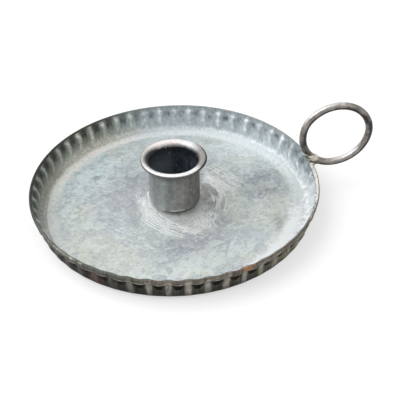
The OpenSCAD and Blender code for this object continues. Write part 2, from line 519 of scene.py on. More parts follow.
        for scale, depth in ((0.13, 0.07), (0.5, 0.08), (1.4, 0.17)):
            links = {"Vector": place_mm, "Scale": scale, "Detail": 6.0, "Roughness": 0.65}
            blots = add(tree, "ShaderNodeTexNoise", links, "Fac")
            tones.append((blots, 0.32, 0.68, 1.0 - depth, 1.0 + depth))
        for value, low, high, dark, light in tones:
            shade = add(tree, "ShaderNodeMapRange", {0: value, 1: low, 2: high, 3: dark, 4: light})
            links = {0: 1.0, 6: colour, 7: shade}
            colour = add(tree, "ShaderNodeMix", links, 2, data_type="RGBA", blend_type="MULTIPLY")
        streak = add(tree, "ShaderNodeMapping", {"Vector": place_mm, "Rotation": (0, 0, 0.3), "Scale": (0.5, 0.65, 1.0)})
        flecks = add(tree, "ShaderNodeTexNoise", {"Vector": streak, "Scale": 1.0, "Detail": 5.0, "Roughness": 0.6}, "Fac")
        stains = add(tree, "ShaderNodeTexNoise", {"Vector": place_mm, "Scale": 0.3, "Detail": 5.0}, "Fac")
        teal = self.patch_mask(tree, survey, Patch(-40.0, 26.0, 40.0, 27.0, 70, "", 1.0))
        front = self.patch_mask(tree, survey, Patch(10.0, -50.0, 45.0, 16.0, 10, "", 1.0))
        smudged = self.patch_mask(tree, survey, Patch(44.0, 3.0, 20.0, 16.0, 80, "", 1.0))
        for value, low, high, strength, code, where in (
            (flecks, 0.53, 0.40, 0.55, "#828D90", smudged),
            (split, 0.70, 0.72, 0.3, "#D8E0E3", None),
            (split, 0.22, 0.20, 0.3, "#AEB7BE", None),
            (small, 0.80, 0.82, 0.25, "#DCE3E1", None),
            (small.node.outputs[1], 0.16, 0.14, 0.25, "#9FAAAF", None),
            (small.node.outputs[2], 0.84, 0.86, 0.3, "#C4CDBF", None),
            (split.node.outputs[1], 0.62, 0.64, 0.6, "#DDE4E6", front),
            (split.node.outputs[2], 0.30, 0.28, 0.6, "#B3BAC2", front),
            (split.node.outputs[1], 0.60, 0.95, 0.3, "#D4D5CB", None),
            (stains, 0.54, 0.60, 0.5, "#97A8AB", teal),
            (stains, 0.42, 0.38, 0.3, "#D5DEDD", teal),
            (flecks, 0.57, 0.66, 0.5, "#E3E8E7", None),
            (flecks, 0.43, 0.34, 0.4, "#98A2A2", None),
        ):
            mask = add(tree, "ShaderNodeMapRange", {0: value, 1: low, 2: high, 3: 0.0, 4: strength})
            if where is not None:
                mask = add(tree, "ShaderNodeMath", {0: mask, 1: where}, operation="MULTIPLY")
            colour = add(tree, "ShaderNodeMix", {0: mask, 6: colour, 7: linear(code)}, 2, data_type="RGBA")
        for step, code, share in ((1.7, "#7D8788", 0.7), (2.6, "#EDF0EE", 0.85)):
            spots = add(tree, "ShaderNodeTexVoronoi", {"Vector": place_mm, "Scale": 1 / step}, "Distance")
            chance = add(tree, "ShaderNodeSeparateColor", {0: spots.node.outputs["Color"]})
            chance = add(tree, "ShaderNodeMath", {0: chance, 1: share}, operation="GREATER_THAN")
            dot = add(tree, "ShaderNodeMapRange", {0: spots, 1: 0.3, 2: 0.08, 3: 0.0, 4: 0.6})
            dot = add(tree, "ShaderNodeMath", {0: dot, 1: chance}, operation="MULTIPLY")
            colour = add(tree, "ShaderNodeMix", {0: dot, 6: colour, 7: linear(code)}, 2, data_type="RGBA")
        return colour

    @staticmethod
    def patch_mask(tree: bpy.types.NodeTree, survey: Survey, patch: Patch | Scouring) -> bpy.types.NodeSocket:
        """Masks a soft, ragged ellipse.

        Args:
            tree: The material's tree.
            survey: Where a point lies.
            patch: The patch, whose length and width are those of half the ellipse.

        Returns:
            The mask, from 0 to 1.
        """
        links = {"Vector": survey.place_mm, "Location": (patch.x, patch.y, 0), "Rotation": (0, 0, math.radians(patch.turn))}
        links["Scale"] = (patch.length, patch.width, 1e4)
        local = add(tree, "ShaderNodeMapping", links, vector_type="TEXTURE")
        ragged = add(tree, "ShaderNodeTexNoise", {"Vector": survey.place_mm, "Scale": 0.2, "Detail": 4.0}, "Fac")
        far = add(tree, "ShaderNodeVectorMath", {0: local}, "Value", operation="LENGTH")
        far = add(tree, "ShaderNodeMath", {0: far, 1: ragged}, operation="ADD")
        links = {0: far, 1: 1.75, 2: 0.9, 3: 0.0, 4: 1.0}
        return add(tree, "ShaderNodeMapRange", links, interpolation_type="SMOOTHSTEP")

    def scratch_mask(self, tree: bpy.types.NodeTree, survey: Survey) -> bpy.types.NodeSocket:
        """Masks the scratches that were wiped through the dull zinc round the cup's foot.

        Args:
            tree: The material's tree.
            survey: Where a point lies.

        Returns:
            The mask, from 0 to 1.
        """
        place_mm = survey.place_mm
        total = 0.0
        gaps = add(tree, "ShaderNodeTexNoise", {"Vector": place_mm, "Scale": 0.45, "Detail": 4.0}, "Fac")
        gaps = add(tree, "ShaderNodeMapRange", {0: gaps, 1: 0.4, 2: 0.56, 3: 0.5, 4: 1.0})
        round_cup = add(tree, "ShaderNodeVectorMath", {0: survey.side, 3: 2.6}, operation="SCALE")
        for scour in self.scourings:
            if scour.round:
                across = add(tree, "ShaderNodeMath", {0: survey.radius, 1: scour.pitch}, operation="DIVIDE")
                along = add(tree, "ShaderNodeCombineXYZ", {"Z": across})
                along = add(tree, "ShaderNodeVectorMath", {0: round_cup, 1: along}, operation="ADD")
            else:
                links = {"Vector": place_mm, "Rotation": (0, 0, math.radians(scour.turn)), "Scale": (7.0, scour.pitch, 1e4)}
                along = add(tree, "ShaderNodeMapping", links, vector_type="TEXTURE")
            lines = add(tree, "ShaderNodeTexNoise", {"Vector": along, "Scale": 1.0, "Detail": 2.0}, "Fac")
            lines = add(tree, "ShaderNodeMapRange", {0: lines, 1: scour.cover - 0.02, 2: scour.cover + 0.06, 3: 0.0, 4: 1.0})
            mask = self.product(tree, self.patch_mask(tree, survey, scour), lines, gaps, scour.strength)
            total = add(tree, "ShaderNodeMath", {0: mask, 1: total}, operation="MAXIMUM")
        shake = add(tree, "ShaderNodeTexNoise", {"Vector": place_mm, "Scale": 0.4, "Detail": 2.0}, "Color")
        shaken = add(tree, "ShaderNodeVectorMath", {0: shake, 1: (1.6, 1.6, 0.0), 2: place_mm}, operation="MULTIPLY_ADD")
        shaken = add(tree, "ShaderNodeVectorMath", {0: shaken, 1: (0.8, 0.8, 0.0)}, operation="SUBTRACT")
        shaken = add(tree, "ShaderNodeVectorMath", {0: shaken, 1: (1, 1, 0)}, operation="MULTIPLY")
        broken = add(tree, "ShaderNodeTexNoise", {"Vector": place_mm, "Scale": 0.7, "Detail": 3.0}, "Fac")
        broken = add(tree, "ShaderNodeMapRange", {0: broken, 1: 0.38, 2: 0.52, 3: 0.55, 4: 1.0})
        for stroke in self.strokes:
            centre, radius = stroke.circle()
            ways = [(Vector(p) - centre).normalized() for p in (stroke.start, stroke.end)]
            middle = (ways[0] + ways[1]).normalized()
            half = math.acos(min(middle.dot(ways[0]), 1.0))
            fade = math.sin(half) / radius
            off = add(tree, "ShaderNodeVectorMath", {0: shaken, 1: centre.to_3d()}, operation="SUBTRACT")
            far = add(tree, "ShaderNodeVectorMath", {0: off}, "Value", operation="LENGTH")
            far = add(tree, "ShaderNodeMath", {0: far, 1: radius}, operation="SUBTRACT")
            near = add(tree, "ShaderNodeMath", {0: far, 1: stroke.pitch}, operation="DIVIDE")
            near = add(tree, "ShaderNodeMath", {0: near}, operation="ROUND")
            near = add(tree, "ShaderNodeClamp", {0: near, 1: 0.0, 2: stroke.count - 1.0})
            links = {0: near, 1: -stroke.pitch, 2: far}
            away = add(tree, "ShaderNodeMath", links, operation="MULTIPLY_ADD")
            away = add(tree, "ShaderNodeMath", {0: away}, operation="ABSOLUTE")
            links = {0: away, 1: stroke.width * 1.5, 2: stroke.width * 0.6, 3: 0.0, 4: stroke.strength}
            line = add(tree, "ShaderNodeMapRange", links)
            way = add(tree, "ShaderNodeVectorMath", {0: off}, operation="NORMALIZE")
            way = add(tree, "ShaderNodeVectorMath", {0: way, 1: middle.to_3d()}, "Value", operation="DOT_PRODUCT")
            links = {0: way, 1: math.cos(half) - fade, 2: math.cos(half) + fade, 3: 0.0, 4: 1.0}
            reach = add(tree, "ShaderNodeMapRange", links)
            line = add(tree, "ShaderNodeMath", {0: line, 1: reach}, operation="MULTIPLY")
            line = add(tree, "ShaderNodeMath", {0: line, 1: broken}, operation="MULTIPLY")
            total = add(tree, "ShaderNodeMath", {0: line, 1: total}, operation="MAXIMUM")
        return total

    @staticmethod
    def ragged_zone(
        tree: bpy.types.NodeTree, survey: Survey, ragged: bpy.types.NodeSocket, angle: float, low: float, high: float
    ) -> bpy.types.NodeSocket:
        """Masks a stretch of the pan's side whose ends are ragged.

        Args:
            tree: The material's tree.
            survey: Where a point lies.
            ragged: A mottle from -0.5 to 0.5.
            angle: The middle of the stretch, in degrees.
            low: How far towards the angle the mask starts, from -1 to 1.
            high: How far towards the angle the mask is full.

        Returns:
            The mask, from 0 to 1.
        """
        near = add(tree, "ShaderNodeMath", {0: ragged, 1: 0.12, 2: survey.towards(tree, angle)}, operation="MULTIPLY_ADD")
        links = {0: near, 1: low, 2: high, 3: 0.0, 4: 1.0}
        return add(tree, "ShaderNodeMapRange", links, interpolation_type="SMOOTHSTEP")

    @staticmethod
    def product(tree: bpy.types.NodeTree, *factors: bpy.types.NodeSocket | float) -> bpy.types.NodeSocket:
        """Multiplies masks with each other."""
        total = factors[0]
        for factor in factors[1:]:
            total = add(tree, "ShaderNodeMath", {0: total, 1: factor}, operation="MULTIPLY")
        return total

    def wall_colour(
        self, tree: bpy.types.NodeTree, survey: Survey, floor: bpy.types.NodeSocket
    ) -> bpy.types.NodeSocket:
        """Paints the wall's inside over the floor's colour.

        The tarnish and painted shade are heavy on one side of the pan, and on another the zinc is rubbed bright
        and painted lighter as painted light. Each rib has a bright line along its crest, partly wear and partly
        painted highlight, which ends in a pale cap of painted highlight. The hollows are darker, the upper wall
        is darkened as painted shade, and the corner at the wall's foot is paler, partly wiped clean and partly
        painted light.

        Args:
            tree: The material's tree.
            survey: Where a point lies.
            floor: The floor's colour.

        Returns:
            The colour of the whole inside.
        """
        links = {"Vector": survey.place_mm, "Scale": 0.4, "Detail": 6.0, "Roughness": 0.7}
        grain = add(tree, "ShaderNodeTexNoise", links, "Fac")
        ragged = add(tree, "ShaderNodeMapRange", {0: grain, 1: 0.25, 2: 0.75, 3: -0.5, 4: 0.5})
        # The tarnished side is also darkened as painted shade, its darkest stretch most of all, and the bright side is
        # rubbed zinc lightened as painted light.
        tarnish_and_shade = self.ragged_zone(tree, survey, ragged, 150, 0.47, 0.9)
        darkest = self.ragged_zone(tree, survey, ragged, 166, 0.88, 0.98)
        bright = self.ragged_zone(tree, survey, ragged, -40, 0.7, 0.88)
        by_ring = self.ragged_zone(tree, survey, ragged, 5, 0.975, 0.995)
        near = self.ragged_zone(tree, survey, ragged, -132, 0.84, 0.93)
        tones = []
        # Each row gives a plain tone, a tone for the side of tarnish and painted shade, and a tone for the rubbed side
        # lightened as painted light.
        for codes in (
            ("#C6CED1", "#C0C0B5", "#E2E6E7"),
            ("#B8C2C7", "#7F847A", "#D2D9DF"),
            ("#BBC4C8", "#A9AEA3", "#E0E5E9"),
            ("#EAEFF1", "#D2D5CB", "#F4F6F8"),
            ("#C9D0CF", "#D2CBC2", "#ECEEEF"),
            ("#98A1A0", "#4C4E47", "#938B83"),
        ):
            tone = add(tree, "ShaderNodeMix", {0: tarnish_and_shade, 6: linear(codes[0]), 7: linear(codes[1])}, 2, data_type="RGBA")
            tones.append(add(tree, "ShaderNodeMix", {0: bright, 6: tone, 7: linear(codes[2])}, 2, data_type="RGBA"))
        foot, hollow, face, ridge, cap, brow = tones
        tall = add(tree, "ShaderNodeMath", {0: ragged, 1: 1.6, 2: survey.height}, operation="MULTIPLY_ADD")
        top = add(tree, "ShaderNodeMapRange", {0: tall, 1: 10.6, 2: 13.4, 3: 0.0, 4: 1.0})
        tongue = add(tree, "ShaderNodeMath", {0: ragged, 1: 0.35, 2: survey.flute}, operation="MULTIPLY_ADD")
        tongue = add(tree, "ShaderNodeMath", {0: tongue, 1: top}, operation="SUBTRACT")
        within = add(tree, "ShaderNodeMapRange", {0: tongue, 1: 0.28, 2: 0.5, 3: 0.0, 4: 1.0})
        lee = add(tree, "ShaderNodeMath", {0: ragged, 1: 0.6, 2: survey.skew}, operation="MULTIPLY_ADD")
        lee = add(tree, "ShaderNodeMapRange", {0: lee, 1: 0.0, 2: 0.7, 3: 0.0, 4: 0.7})
        lit = add(tree, "ShaderNodeMath", {0: 1.0, 1: self.product(tree, lee, tarnish_and_shade)}, operation="SUBTRACT")
        crest = add(tree, "ShaderNodeMath", {0: ragged, 1: 0.1, 2: survey.wave}, operation="MULTIPLY_ADD")
        line = add(tree, "ShaderNodeMapRange", {0: crest, 1: 0.83, 2: 0.94, 3: 0.0, 4: 1.0})
        below = add(tree, "ShaderNodeMapRange", {0: survey.height, 1: 13.5, 2: 13.1, 3: 0.0, 4: 1.0})
        foot_fade = add(tree, "ShaderNodeMapRange", {0: tall, 1: 2.0, 2: 4.5, 3: 0.3, 4: 1.0})
        luck = add(tree, "ShaderNodeMapRange", {0: survey.lot, 1: 0.0, 2: 0.7, 3: 0.4, 4: 1.0})
        tip = add(tree, "ShaderNodeMapRange", {0: crest, 1: 0.62, 2: 0.86, 3: 0.0, 4: 1.0})
        tip_height = add(tree, "ShaderNodeMapRange", {0: tall, 1: 11.0, 2: 12.2, 3: 0.0, 4: 0.9})
        hollow_side = add(tree, "ShaderNodeMapRange", {0: crest, 1: 0.6, 2: 0.15, 3: 0.0, 4: 1.0})
        blot = add(tree, "ShaderNodeMapRange", {0: tall, 1: 7.0, 2: 9.0, 3: 0.0, 4: 0.85})
        blot_top = add(tree, "ShaderNodeMapRange", {0: tall, 1: 12.4, 2: 10.6, 3: 0.0, 4: 1.0})
        plain = add(tree, "ShaderNodeMath", {0: 1.0, 1: bright}, operation="SUBTRACT")
        spotty = add(tree, "ShaderNodeTexNoise", {"Vector": survey.place_mm, "Scale": 0.25, "Detail": 5.0}, "Fac")
        spotty = add(tree, "ShaderNodeMapRange", {0: spotty, 1: 0.4, 2: 0.6, 3: 0.0, 4: 1.0})
        rim = add(tree, "ShaderNodeMapRange", {0: survey.height, 1: 13.3, 2: 13.7, 3: 0.0, 4: 1.0})
        hem_end = self.ragged_zone(tree, survey, ragged, -14, 0.965, 0.985)
        frayed = add(tree, "ShaderNodeMath", {0: ragged, 1: 2.6, 2: survey.height}, operation="MULTIPLY_ADD")
        strip = add(tree, "ShaderNodeMapRange", {0: frayed, 1: 12.4, 2: 12.7, 3: 0.0, 4: 0.9})
        outline = add(tree, "ShaderNodeMath", {0: frayed, 1: 12.5}, operation="SUBTRACT")
        outline = add(tree, "ShaderNodeMath", {0: outline}, operation="ABSOLUTE")
        outline = add(tree, "ShaderNodeMapRange", {0: outline, 1: 0.4, 2: 0.15, 3: 0.0, 4: 1.0})
        # Darker towards the top of the hollows on the tarnished side.
        dark_recess = add(tree, "ShaderNodeMapRange", {0: tall, 1: 7.0, 2: 10.0, 3: 0.0, 4: 0.8})
        wear_and_highlight = add(tree, "ShaderNodeMapRange", {0: spotty, 1: 0.0, 2: 1.0, 3: 0.5, 4: 1.0})
        wall = hollow
        for mask, tone in (
            (self.product(tree, within, lit, 0.85), face),
            (self.product(tree, blot, blot_top, hollow_side, plain, spotty), linear("#616C70")),
            (self.product(tree, dark_recess, hollow_side, tarnish_and_shade), linear("#33362D")),
            # The bright line along each rib's crest is partly wear and partly painted highlight.
            (self.product(tree, line, below, foot_fade, luck, wear_and_highlight), ridge),
            # The pale caps where the ribs end below the rim, facing up, are painted highlight.
            (self.product(tree, tip, tip_height, below, luck, spotty, tarnish_and_shade), cap),
            # Beside the ring the upper wall is darkened as the painted shadow of the ring and braze.
            (self.product(tree, by_ring, blot, 0.8), linear("#76878A")),
            (rim, brow),
            (self.product(tree, strip, hem_end), linear("#F2F0EA")),
            (self.product(tree, outline, hem_end), linear("#4E4A40")),
        ):
            wall = add(tree, "ShaderNodeMix", {0: mask, 6: wall, 7: tone}, 2, data_type="RGBA")
        up = add(tree, "ShaderNodeMapRange", {0: tall, 1: 1.2, 2: 7.5, 3: 0.0, 4: 1.0}, interpolation_type="SMOOTHSTEP")
        wall = add(tree, "ShaderNodeMix", {0: up, 6: foot, 7: wall}, 2, data_type="RGBA")
        # On the plain side the upper wall is darkened towards the rim as painted shade.
        high_up = add(tree, "ShaderNodeMapRange", {0: survey.height, 1: 8.0, 2: 12.5, 3: 0.0, 4: 1.0})
        high_up = add(tree, "ShaderNodeMapRange", {0: self.product(tree, high_up, plain), 1: 0.0, 2: 1.0, 3: 1.0, 4: 0.85})
        # The darkest stretch of the tarnished side is darkened further as painted shade.
        murk = add(tree, "ShaderNodeMapRange", {0: darkest, 1: 0.0, 2: 1.0, 3: 1.0, 4: 0.68})
        streak = add(tree, "ShaderNodeMapping", {"Vector": survey.place_mm, "Scale": (1.0, 1.0, 0.3)})
        streak = add(tree, "ShaderNodeTexNoise", {"Vector": streak, "Scale": 0.9, "Detail": 4.0}, "Fac")
        pits = add(tree, "ShaderNodeTexNoise", {"Vector": survey.place_mm, "Scale": 0.9, "Detail": 5.0}, "Fac")
        pits = add(tree, "ShaderNodeMapRange", {0: pits, 1: 0.34, 2: 0.66, 3: -0.18, 4: 0.18})
        pits = add(tree, "ShaderNodeMath", {0: pits, 1: tarnish_and_shade, 2: 1.0}, operation="MULTIPLY_ADD")
        rough_grain = add(tree, "ShaderNodeMapRange", {0: grain, 1: 0.3, 2: 0.7, 3: 0.74, 4: 1.26})
        fine_streak = add(tree, "ShaderNodeMapRange", {0: streak, 1: 0.3, 2: 0.7, 3: 0.84, 4: 1.16})
        for shade in (high_up, murk, pits, rough_grain, fine_streak):
            links = {0: 1.0, 6: wall, 7: shade}
            wall = add(tree, "ShaderNodeMix", links, 2, data_type="RGBA", blend_type="MULTIPLY")
        shaded = self.ragged_zone(tree, survey, ragged, 85, -0.1, 0.45)
        far_left = self.ragged_zone(tree, survey, ragged, 188, 0.9, 0.97)
        return self.edge_colour(tree, survey, floor, wall, (ragged, tarnish_and_shade, by_ring, near, shaded, far_left))

    def edge_colour(
        self, tree: bpy.types.NodeTree, survey: Survey, floor: bpy.types.NodeSocket, wall: bpy.types.NodeSocket,
        masks: tuple[bpy.types.NodeSocket, ...]
    ) -> bpy.types.NodeSocket:
        """Joins the floor's paint to the wall's, with the pale band and the thin line between them.

        Args:
            tree: The material's tree.
            survey: Where a point lies.
            floor: The floor's colour.
            wall: The wall's colour.
            masks: The mottle, the side of tarnish and painted shade, the stretch by the ring, and the near, far and
                left sides.

        Returns:
            The colour of the whole inside.
        """
        ragged, tarnish_and_shade, by_ring, near, shaded, far_left = masks
        # The pale band along the floor's edge is partly pale zinc and partly painted light: it is brightest on the
        # front right and lightens the corner where the wall's shade falls.
        wiped = self.ragged_zone(tree, survey, ragged, -43, 0.82, 0.93)
        wander = add(tree, "ShaderNodeMath", {0: ragged, 1: 2.4, 2: survey.radius}, operation="MULTIPLY_ADD")
        wander = add(tree, "ShaderNodeMath", {0: wiped, 1: 2.5, 2: wander}, operation="MULTIPLY_ADD")
        rise = add(tree, "ShaderNodeMapRange", {0: wander, 1: 65.0, 2: 66.8, 3: 0.0, 4: 1.0})
        band = add(tree, "ShaderNodeMapRange", {0: wander, 1: 59.2, 2: 62.2, 3: 0.0, 4: 1.0})
        speck = add(tree, "ShaderNodeTexNoise", {"Vector": survey.place_mm, "Scale": 0.8, "Detail": 4.0}, "Fac")
        speck = add(tree, "ShaderNodeMapRange", {0: speck, 1: 0.34, 2: 0.5, 3: 0.45, 4: 1.0})
        share = add(tree, "ShaderNodeMapRange", {0: shaded, 1: 0.0, 2: 1.0, 3: 0.35, 4: 0.95})
        share = add(tree, "ShaderNodeMath", {0: share, 1: wiped}, operation="MAXIMUM")
        pale = add(tree, "ShaderNodeMix", {0: tarnish_and_shade, 6: linear("#F0F4F5"), 7: linear("#FFFEF8")}, 2, data_type="RGBA")
        band = self.product(tree, band, speck, share)
        colour = add(tree, "ShaderNodeMix", {0: band, 6: floor, 7: pale}, 2, data_type="RGBA")
        colour = add(tree, "ShaderNodeMix", {0: rise, 6: colour, 7: wall}, 2, data_type="RGBA")
        slight = add(tree, "ShaderNodeMath", {0: ragged, 1: 0.7, 2: survey.radius}, operation="MULTIPLY_ADD")
        for middle, half, code, strength, where in (
            (65.4, 0.55, "#8B8376", 0.5, far_left),
            # A white line in the corner beside the ring is partly bright zinc and partly painted highlight.
            (66.6, 0.45, "#FBFCFC", 0.6, by_ring),
        ):
            away = add(tree, "ShaderNodeMath", {0: slight, 1: middle}, operation="SUBTRACT")
            away = add(tree, "ShaderNodeMath", {0: away}, operation="ABSOLUTE")
            line = add(tree, "ShaderNodeMapRange", {0: away, 1: half, 2: half * 0.3, 3: 0.0, 4: strength})
            mask = self.product(tree, line, where)
            colour = add(tree, "ShaderNodeMix", {0: mask, 6: colour, 7: linear(code)}, 2, data_type="RGBA")
        # Just inside the rim on the front left, a dark line is painted shade behind the crown.
        fringe = add(tree, "ShaderNodeMapRange", {0: survey.height, 1: 12.9, 2: 13.3, 3: 0.0, 4: 1.0})
        fringe = self.product(tree, fringe, near)
        return add(tree, "ShaderNodeMix", {0: fringe, 6: colour, 7: linear("#5F635B")}, 2, data_type="RGBA")

    def outside_colour(self, tree: bpy.types.NodeTree, survey: Survey) -> bpy.types.NodeSocket:
        """Paints the wall's outside, the hem and the underside.

        Args:
            tree: The material's tree.
            survey: Where a point lies.

        Returns:
            The colour.
        """
        streak = add(tree, "ShaderNodeMapping", {"Vector": survey.place_mm, "Scale": (1.0, 1.0, 0.3)})
        tone = add(tree, "ShaderNodeTexNoise", {"Vector": streak, "Scale": 0.16, "Detail": 5.0}, "Fac")
        tone = add(tree, "ShaderNodeMapRange", {0: tone, 1: 0.33, 2: 0.67, 3: 0.0, 4: 1.0})
        ragged = add(tree, "ShaderNodeMath", {0: tone, 1: 0.5}, operation="SUBTRACT")
        left = self.ragged_zone(tree, survey, ragged, 226, 0.88, 0.95)
        far_left = self.ragged_zone(tree, survey, ragged, 198, 0.9, 0.97)
        right = self.ragged_zone(tree, survey, ragged, -40, 0.84, 0.95)
        front = self.ragged_zone(tree, survey, ragged, -92, 0.84, 0.95)
        tones = []
        for dark, light in (("#5C5950", "#B0AB9E"), ("#30312A", "#85857A"), ("#66625A", "#8C8980")):
            links = {0: tone, 6: linear(dark), 7: linear(light)}
            tones.append(add(tree, "ShaderNodeMix", links, 2, data_type="RGBA"))
        land, pocket, free_hem = tones
        land = add(tree, "ShaderNodeMix", {0: left, 6: land, 7: linear("#4E4B45")}, 2, data_type="RGBA")
        pocket = add(tree, "ShaderNodeMix", {0: left, 6: pocket, 7: linear("#3C3A36")}, 2, data_type="RGBA")
        pocket = add(tree, "ShaderNodeMix", {0: right, 6: pocket, 7: linear("#77735F")}, 2, data_type="RGBA")
        free_hem = add(tree, "ShaderNodeMix", {0: left, 6: free_hem, 7: linear("#55564F")}, 2, data_type="RGBA")
        # At the front the lands are lighter and the pockets darker; the darkened pockets are partly painted shade.
        bared = self.product(tree, front, 0.5)
        dark_recess = self.product(tree, front, 0.6)
        land = add(tree, "ShaderNodeMix", {0: bared, 6: land, 7: linear("#C3BEB3")}, 2, data_type="RGBA")
        pocket = add(tree, "ShaderNodeMix", {0: dark_recess, 6: pocket, 7: linear("#1E1F1A")}, 2, data_type="RGBA")
        edge_of_land = add(tree, "ShaderNodeMath", {0: ragged, 1: 0.3, 2: survey.wave}, operation="MULTIPLY_ADD")
        edge_of_land = add(tree, "ShaderNodeMath", {0: survey.lot, 1: 0.12, 2: edge_of_land}, operation="MULTIPLY_ADD")
        deep = add(tree, "ShaderNodeMapRange", {0: edge_of_land, 1: 0.02, 2: 0.42, 3: 0.0, 4: 1.0})
        wall = add(tree, "ShaderNodeMix", {0: deep, 6: land, 7: pocket}, 2, data_type="RGBA")
        # Each pocket gets a black painted shadow under the hem's overhang, which hangs lowest in the pocket's middle.
        hang = add(tree, "ShaderNodeMapRange", {0: survey.wave, 1: 0.12, 2: 0.85, 3: 0.0, 4: 4.2})
        sill = add(tree, "ShaderNodeMath", {0: hang, 1: survey.height}, operation="ADD")
        sill = add(tree, "ShaderNodeMath", {0: ragged, 1: 0.8, 2: sill}, operation="MULTIPLY_ADD")
        hem_shadow = add(tree, "ShaderNodeMapRange", {0: sill, 1: 9.8, 2: 10.5, 3: 0.0, 4: 1.0})
        base = add(tree, "ShaderNodeMapRange", {0: survey.height, 1: 5.6, 2: 1.2, 3: 0.0, 4: 0.96})
        for mask, code in ((base, "#161713"), (hem_shadow, "#0A0A07")):
            wall = add(tree, "ShaderNodeMix", {0: mask, 6: wall, 7: linear(code)}, 2, data_type="RGBA")
        hem = add(tree, "ShaderNodeMix", {0: deep, 6: land, 7: free_hem}, 2, data_type="RGBA")
        dirt = add(tree, "ShaderNodeMapRange", {0: survey.height, 1: 12.6, 2: 11.4, 3: 0.0, 4: 0.7})
        hem = add(tree, "ShaderNodeMix", {0: self.product(tree, dirt, deep), 6: hem, 7: linear("#2B2722")}, 2, data_type="RGBA")
        crown = add(tree, "ShaderNodeMapRange", {0: survey.height, 1: 13.0, 2: 13.6, 3: 0.0, 4: 1.0})
        edge = add(tree, "ShaderNodeAttribute", out="Fac", attribute_name="edge")
        brink = add(tree, "ShaderNodeMapRange", {0: survey.radius, 1: 71.3, 2: 71.6, 3: 0.0, 4: 1.0})
        back = self.ragged_zone(tree, survey, ragged, 90, 0.1, 0.5)
        dusky = self.ragged_zone(tree, survey, ragged, 155, 0.3, 0.8)
        by_ring = self.ragged_zone(tree, survey, ragged, -16, 0.93, 0.97)
        low_leg = add(tree, "ShaderNodeAttribute", out="Fac", attribute_name="leg")
        low_leg = add(tree, "ShaderNodeMapRange", {0: low_leg, 1: 0.05, 2: 0.3, 3: 0.0, 4: 1.0})
        for mask, code in (
            (self.product(tree, crown, 0.65), "#645F56"),
            (self.product(tree, crown, left), "#5C6057"),
            (self.product(tree, edge, left), "#A39F97"),
            (self.product(tree, crown, far_left), "#B5AFA8"),
            (self.product(tree, edge, far_left), "#BDB5AE"),
            (self.product(tree, crown, right, 0.6), "#5B584E"),
            (self.product(tree, crown, front, 0.6), "#76695E"),
            (self.product(tree, edge, front, 0.7), "#C2B8AB"),
            (by_ring, "#F1EFE9"),
            (self.product(tree, brink, by_ring), "#575349"),
            (self.product(tree, low_leg, by_ring), "#453F37"),
            (back, "#A0999A"),
            (dusky, "#4E5049"),
        ):
            hem = add(tree, "ShaderNodeMix", {0: mask, 6: hem, 7: linear(code)}, 2, data_type="RGBA")
        above = add(tree, "ShaderNodeMapRange", {0: survey.radius, 1: 70.5, 2: 70.75, 3: 0.0, 4: 1.0})
        colour = add(tree, "ShaderNodeMix", {0: above, 6: wall, 7: hem}, 2, data_type="RGBA")
        fray = add(tree, "ShaderNodeTexNoise", {"Vector": survey.place_mm, "Scale": 0.6, "Detail": 4.0}, "Fac")
        for place_mm, size, code, strength in (
            ((20.3, -69.6, 13.0), 3.6, "#B98B62", 0.85),
            ((-46.4, -53.3, 6.0), 5.5, "#63463F", 0.6),
        ):
            far = add(tree, "ShaderNodeVectorMath", {0: survey.place_mm, 1: place_mm}, "Value", operation="DISTANCE")
            far = add(tree, "ShaderNodeMath", {0: fray, 1: 6.0, 2: far}, operation="MULTIPLY_ADD")
            mask = add(tree, "ShaderNodeMapRange", {0: far, 1: size + 3, 2: size * 0.4 + 3, 3: 0.0, 4: strength})
            colour = add(tree, "ShaderNodeMix", {0: mask, 6: colour, 7: linear(code)}, 2, data_type="RGBA")
        fine = add(tree, "ShaderNodeTexNoise", {"Vector": streak, "Scale": 0.7, "Detail": 6.0}, "Fac")
        shade = add(tree, "ShaderNodeMapRange", {0: fine, 1: 0.3, 2: 0.7, 3: 0.5, 4: 1.5})
        return add(tree, "ShaderNodeMix", {0: 1.0, 6: colour, 7: shade}, 2, data_type="RGBA", blend_type="MULTIPLY")


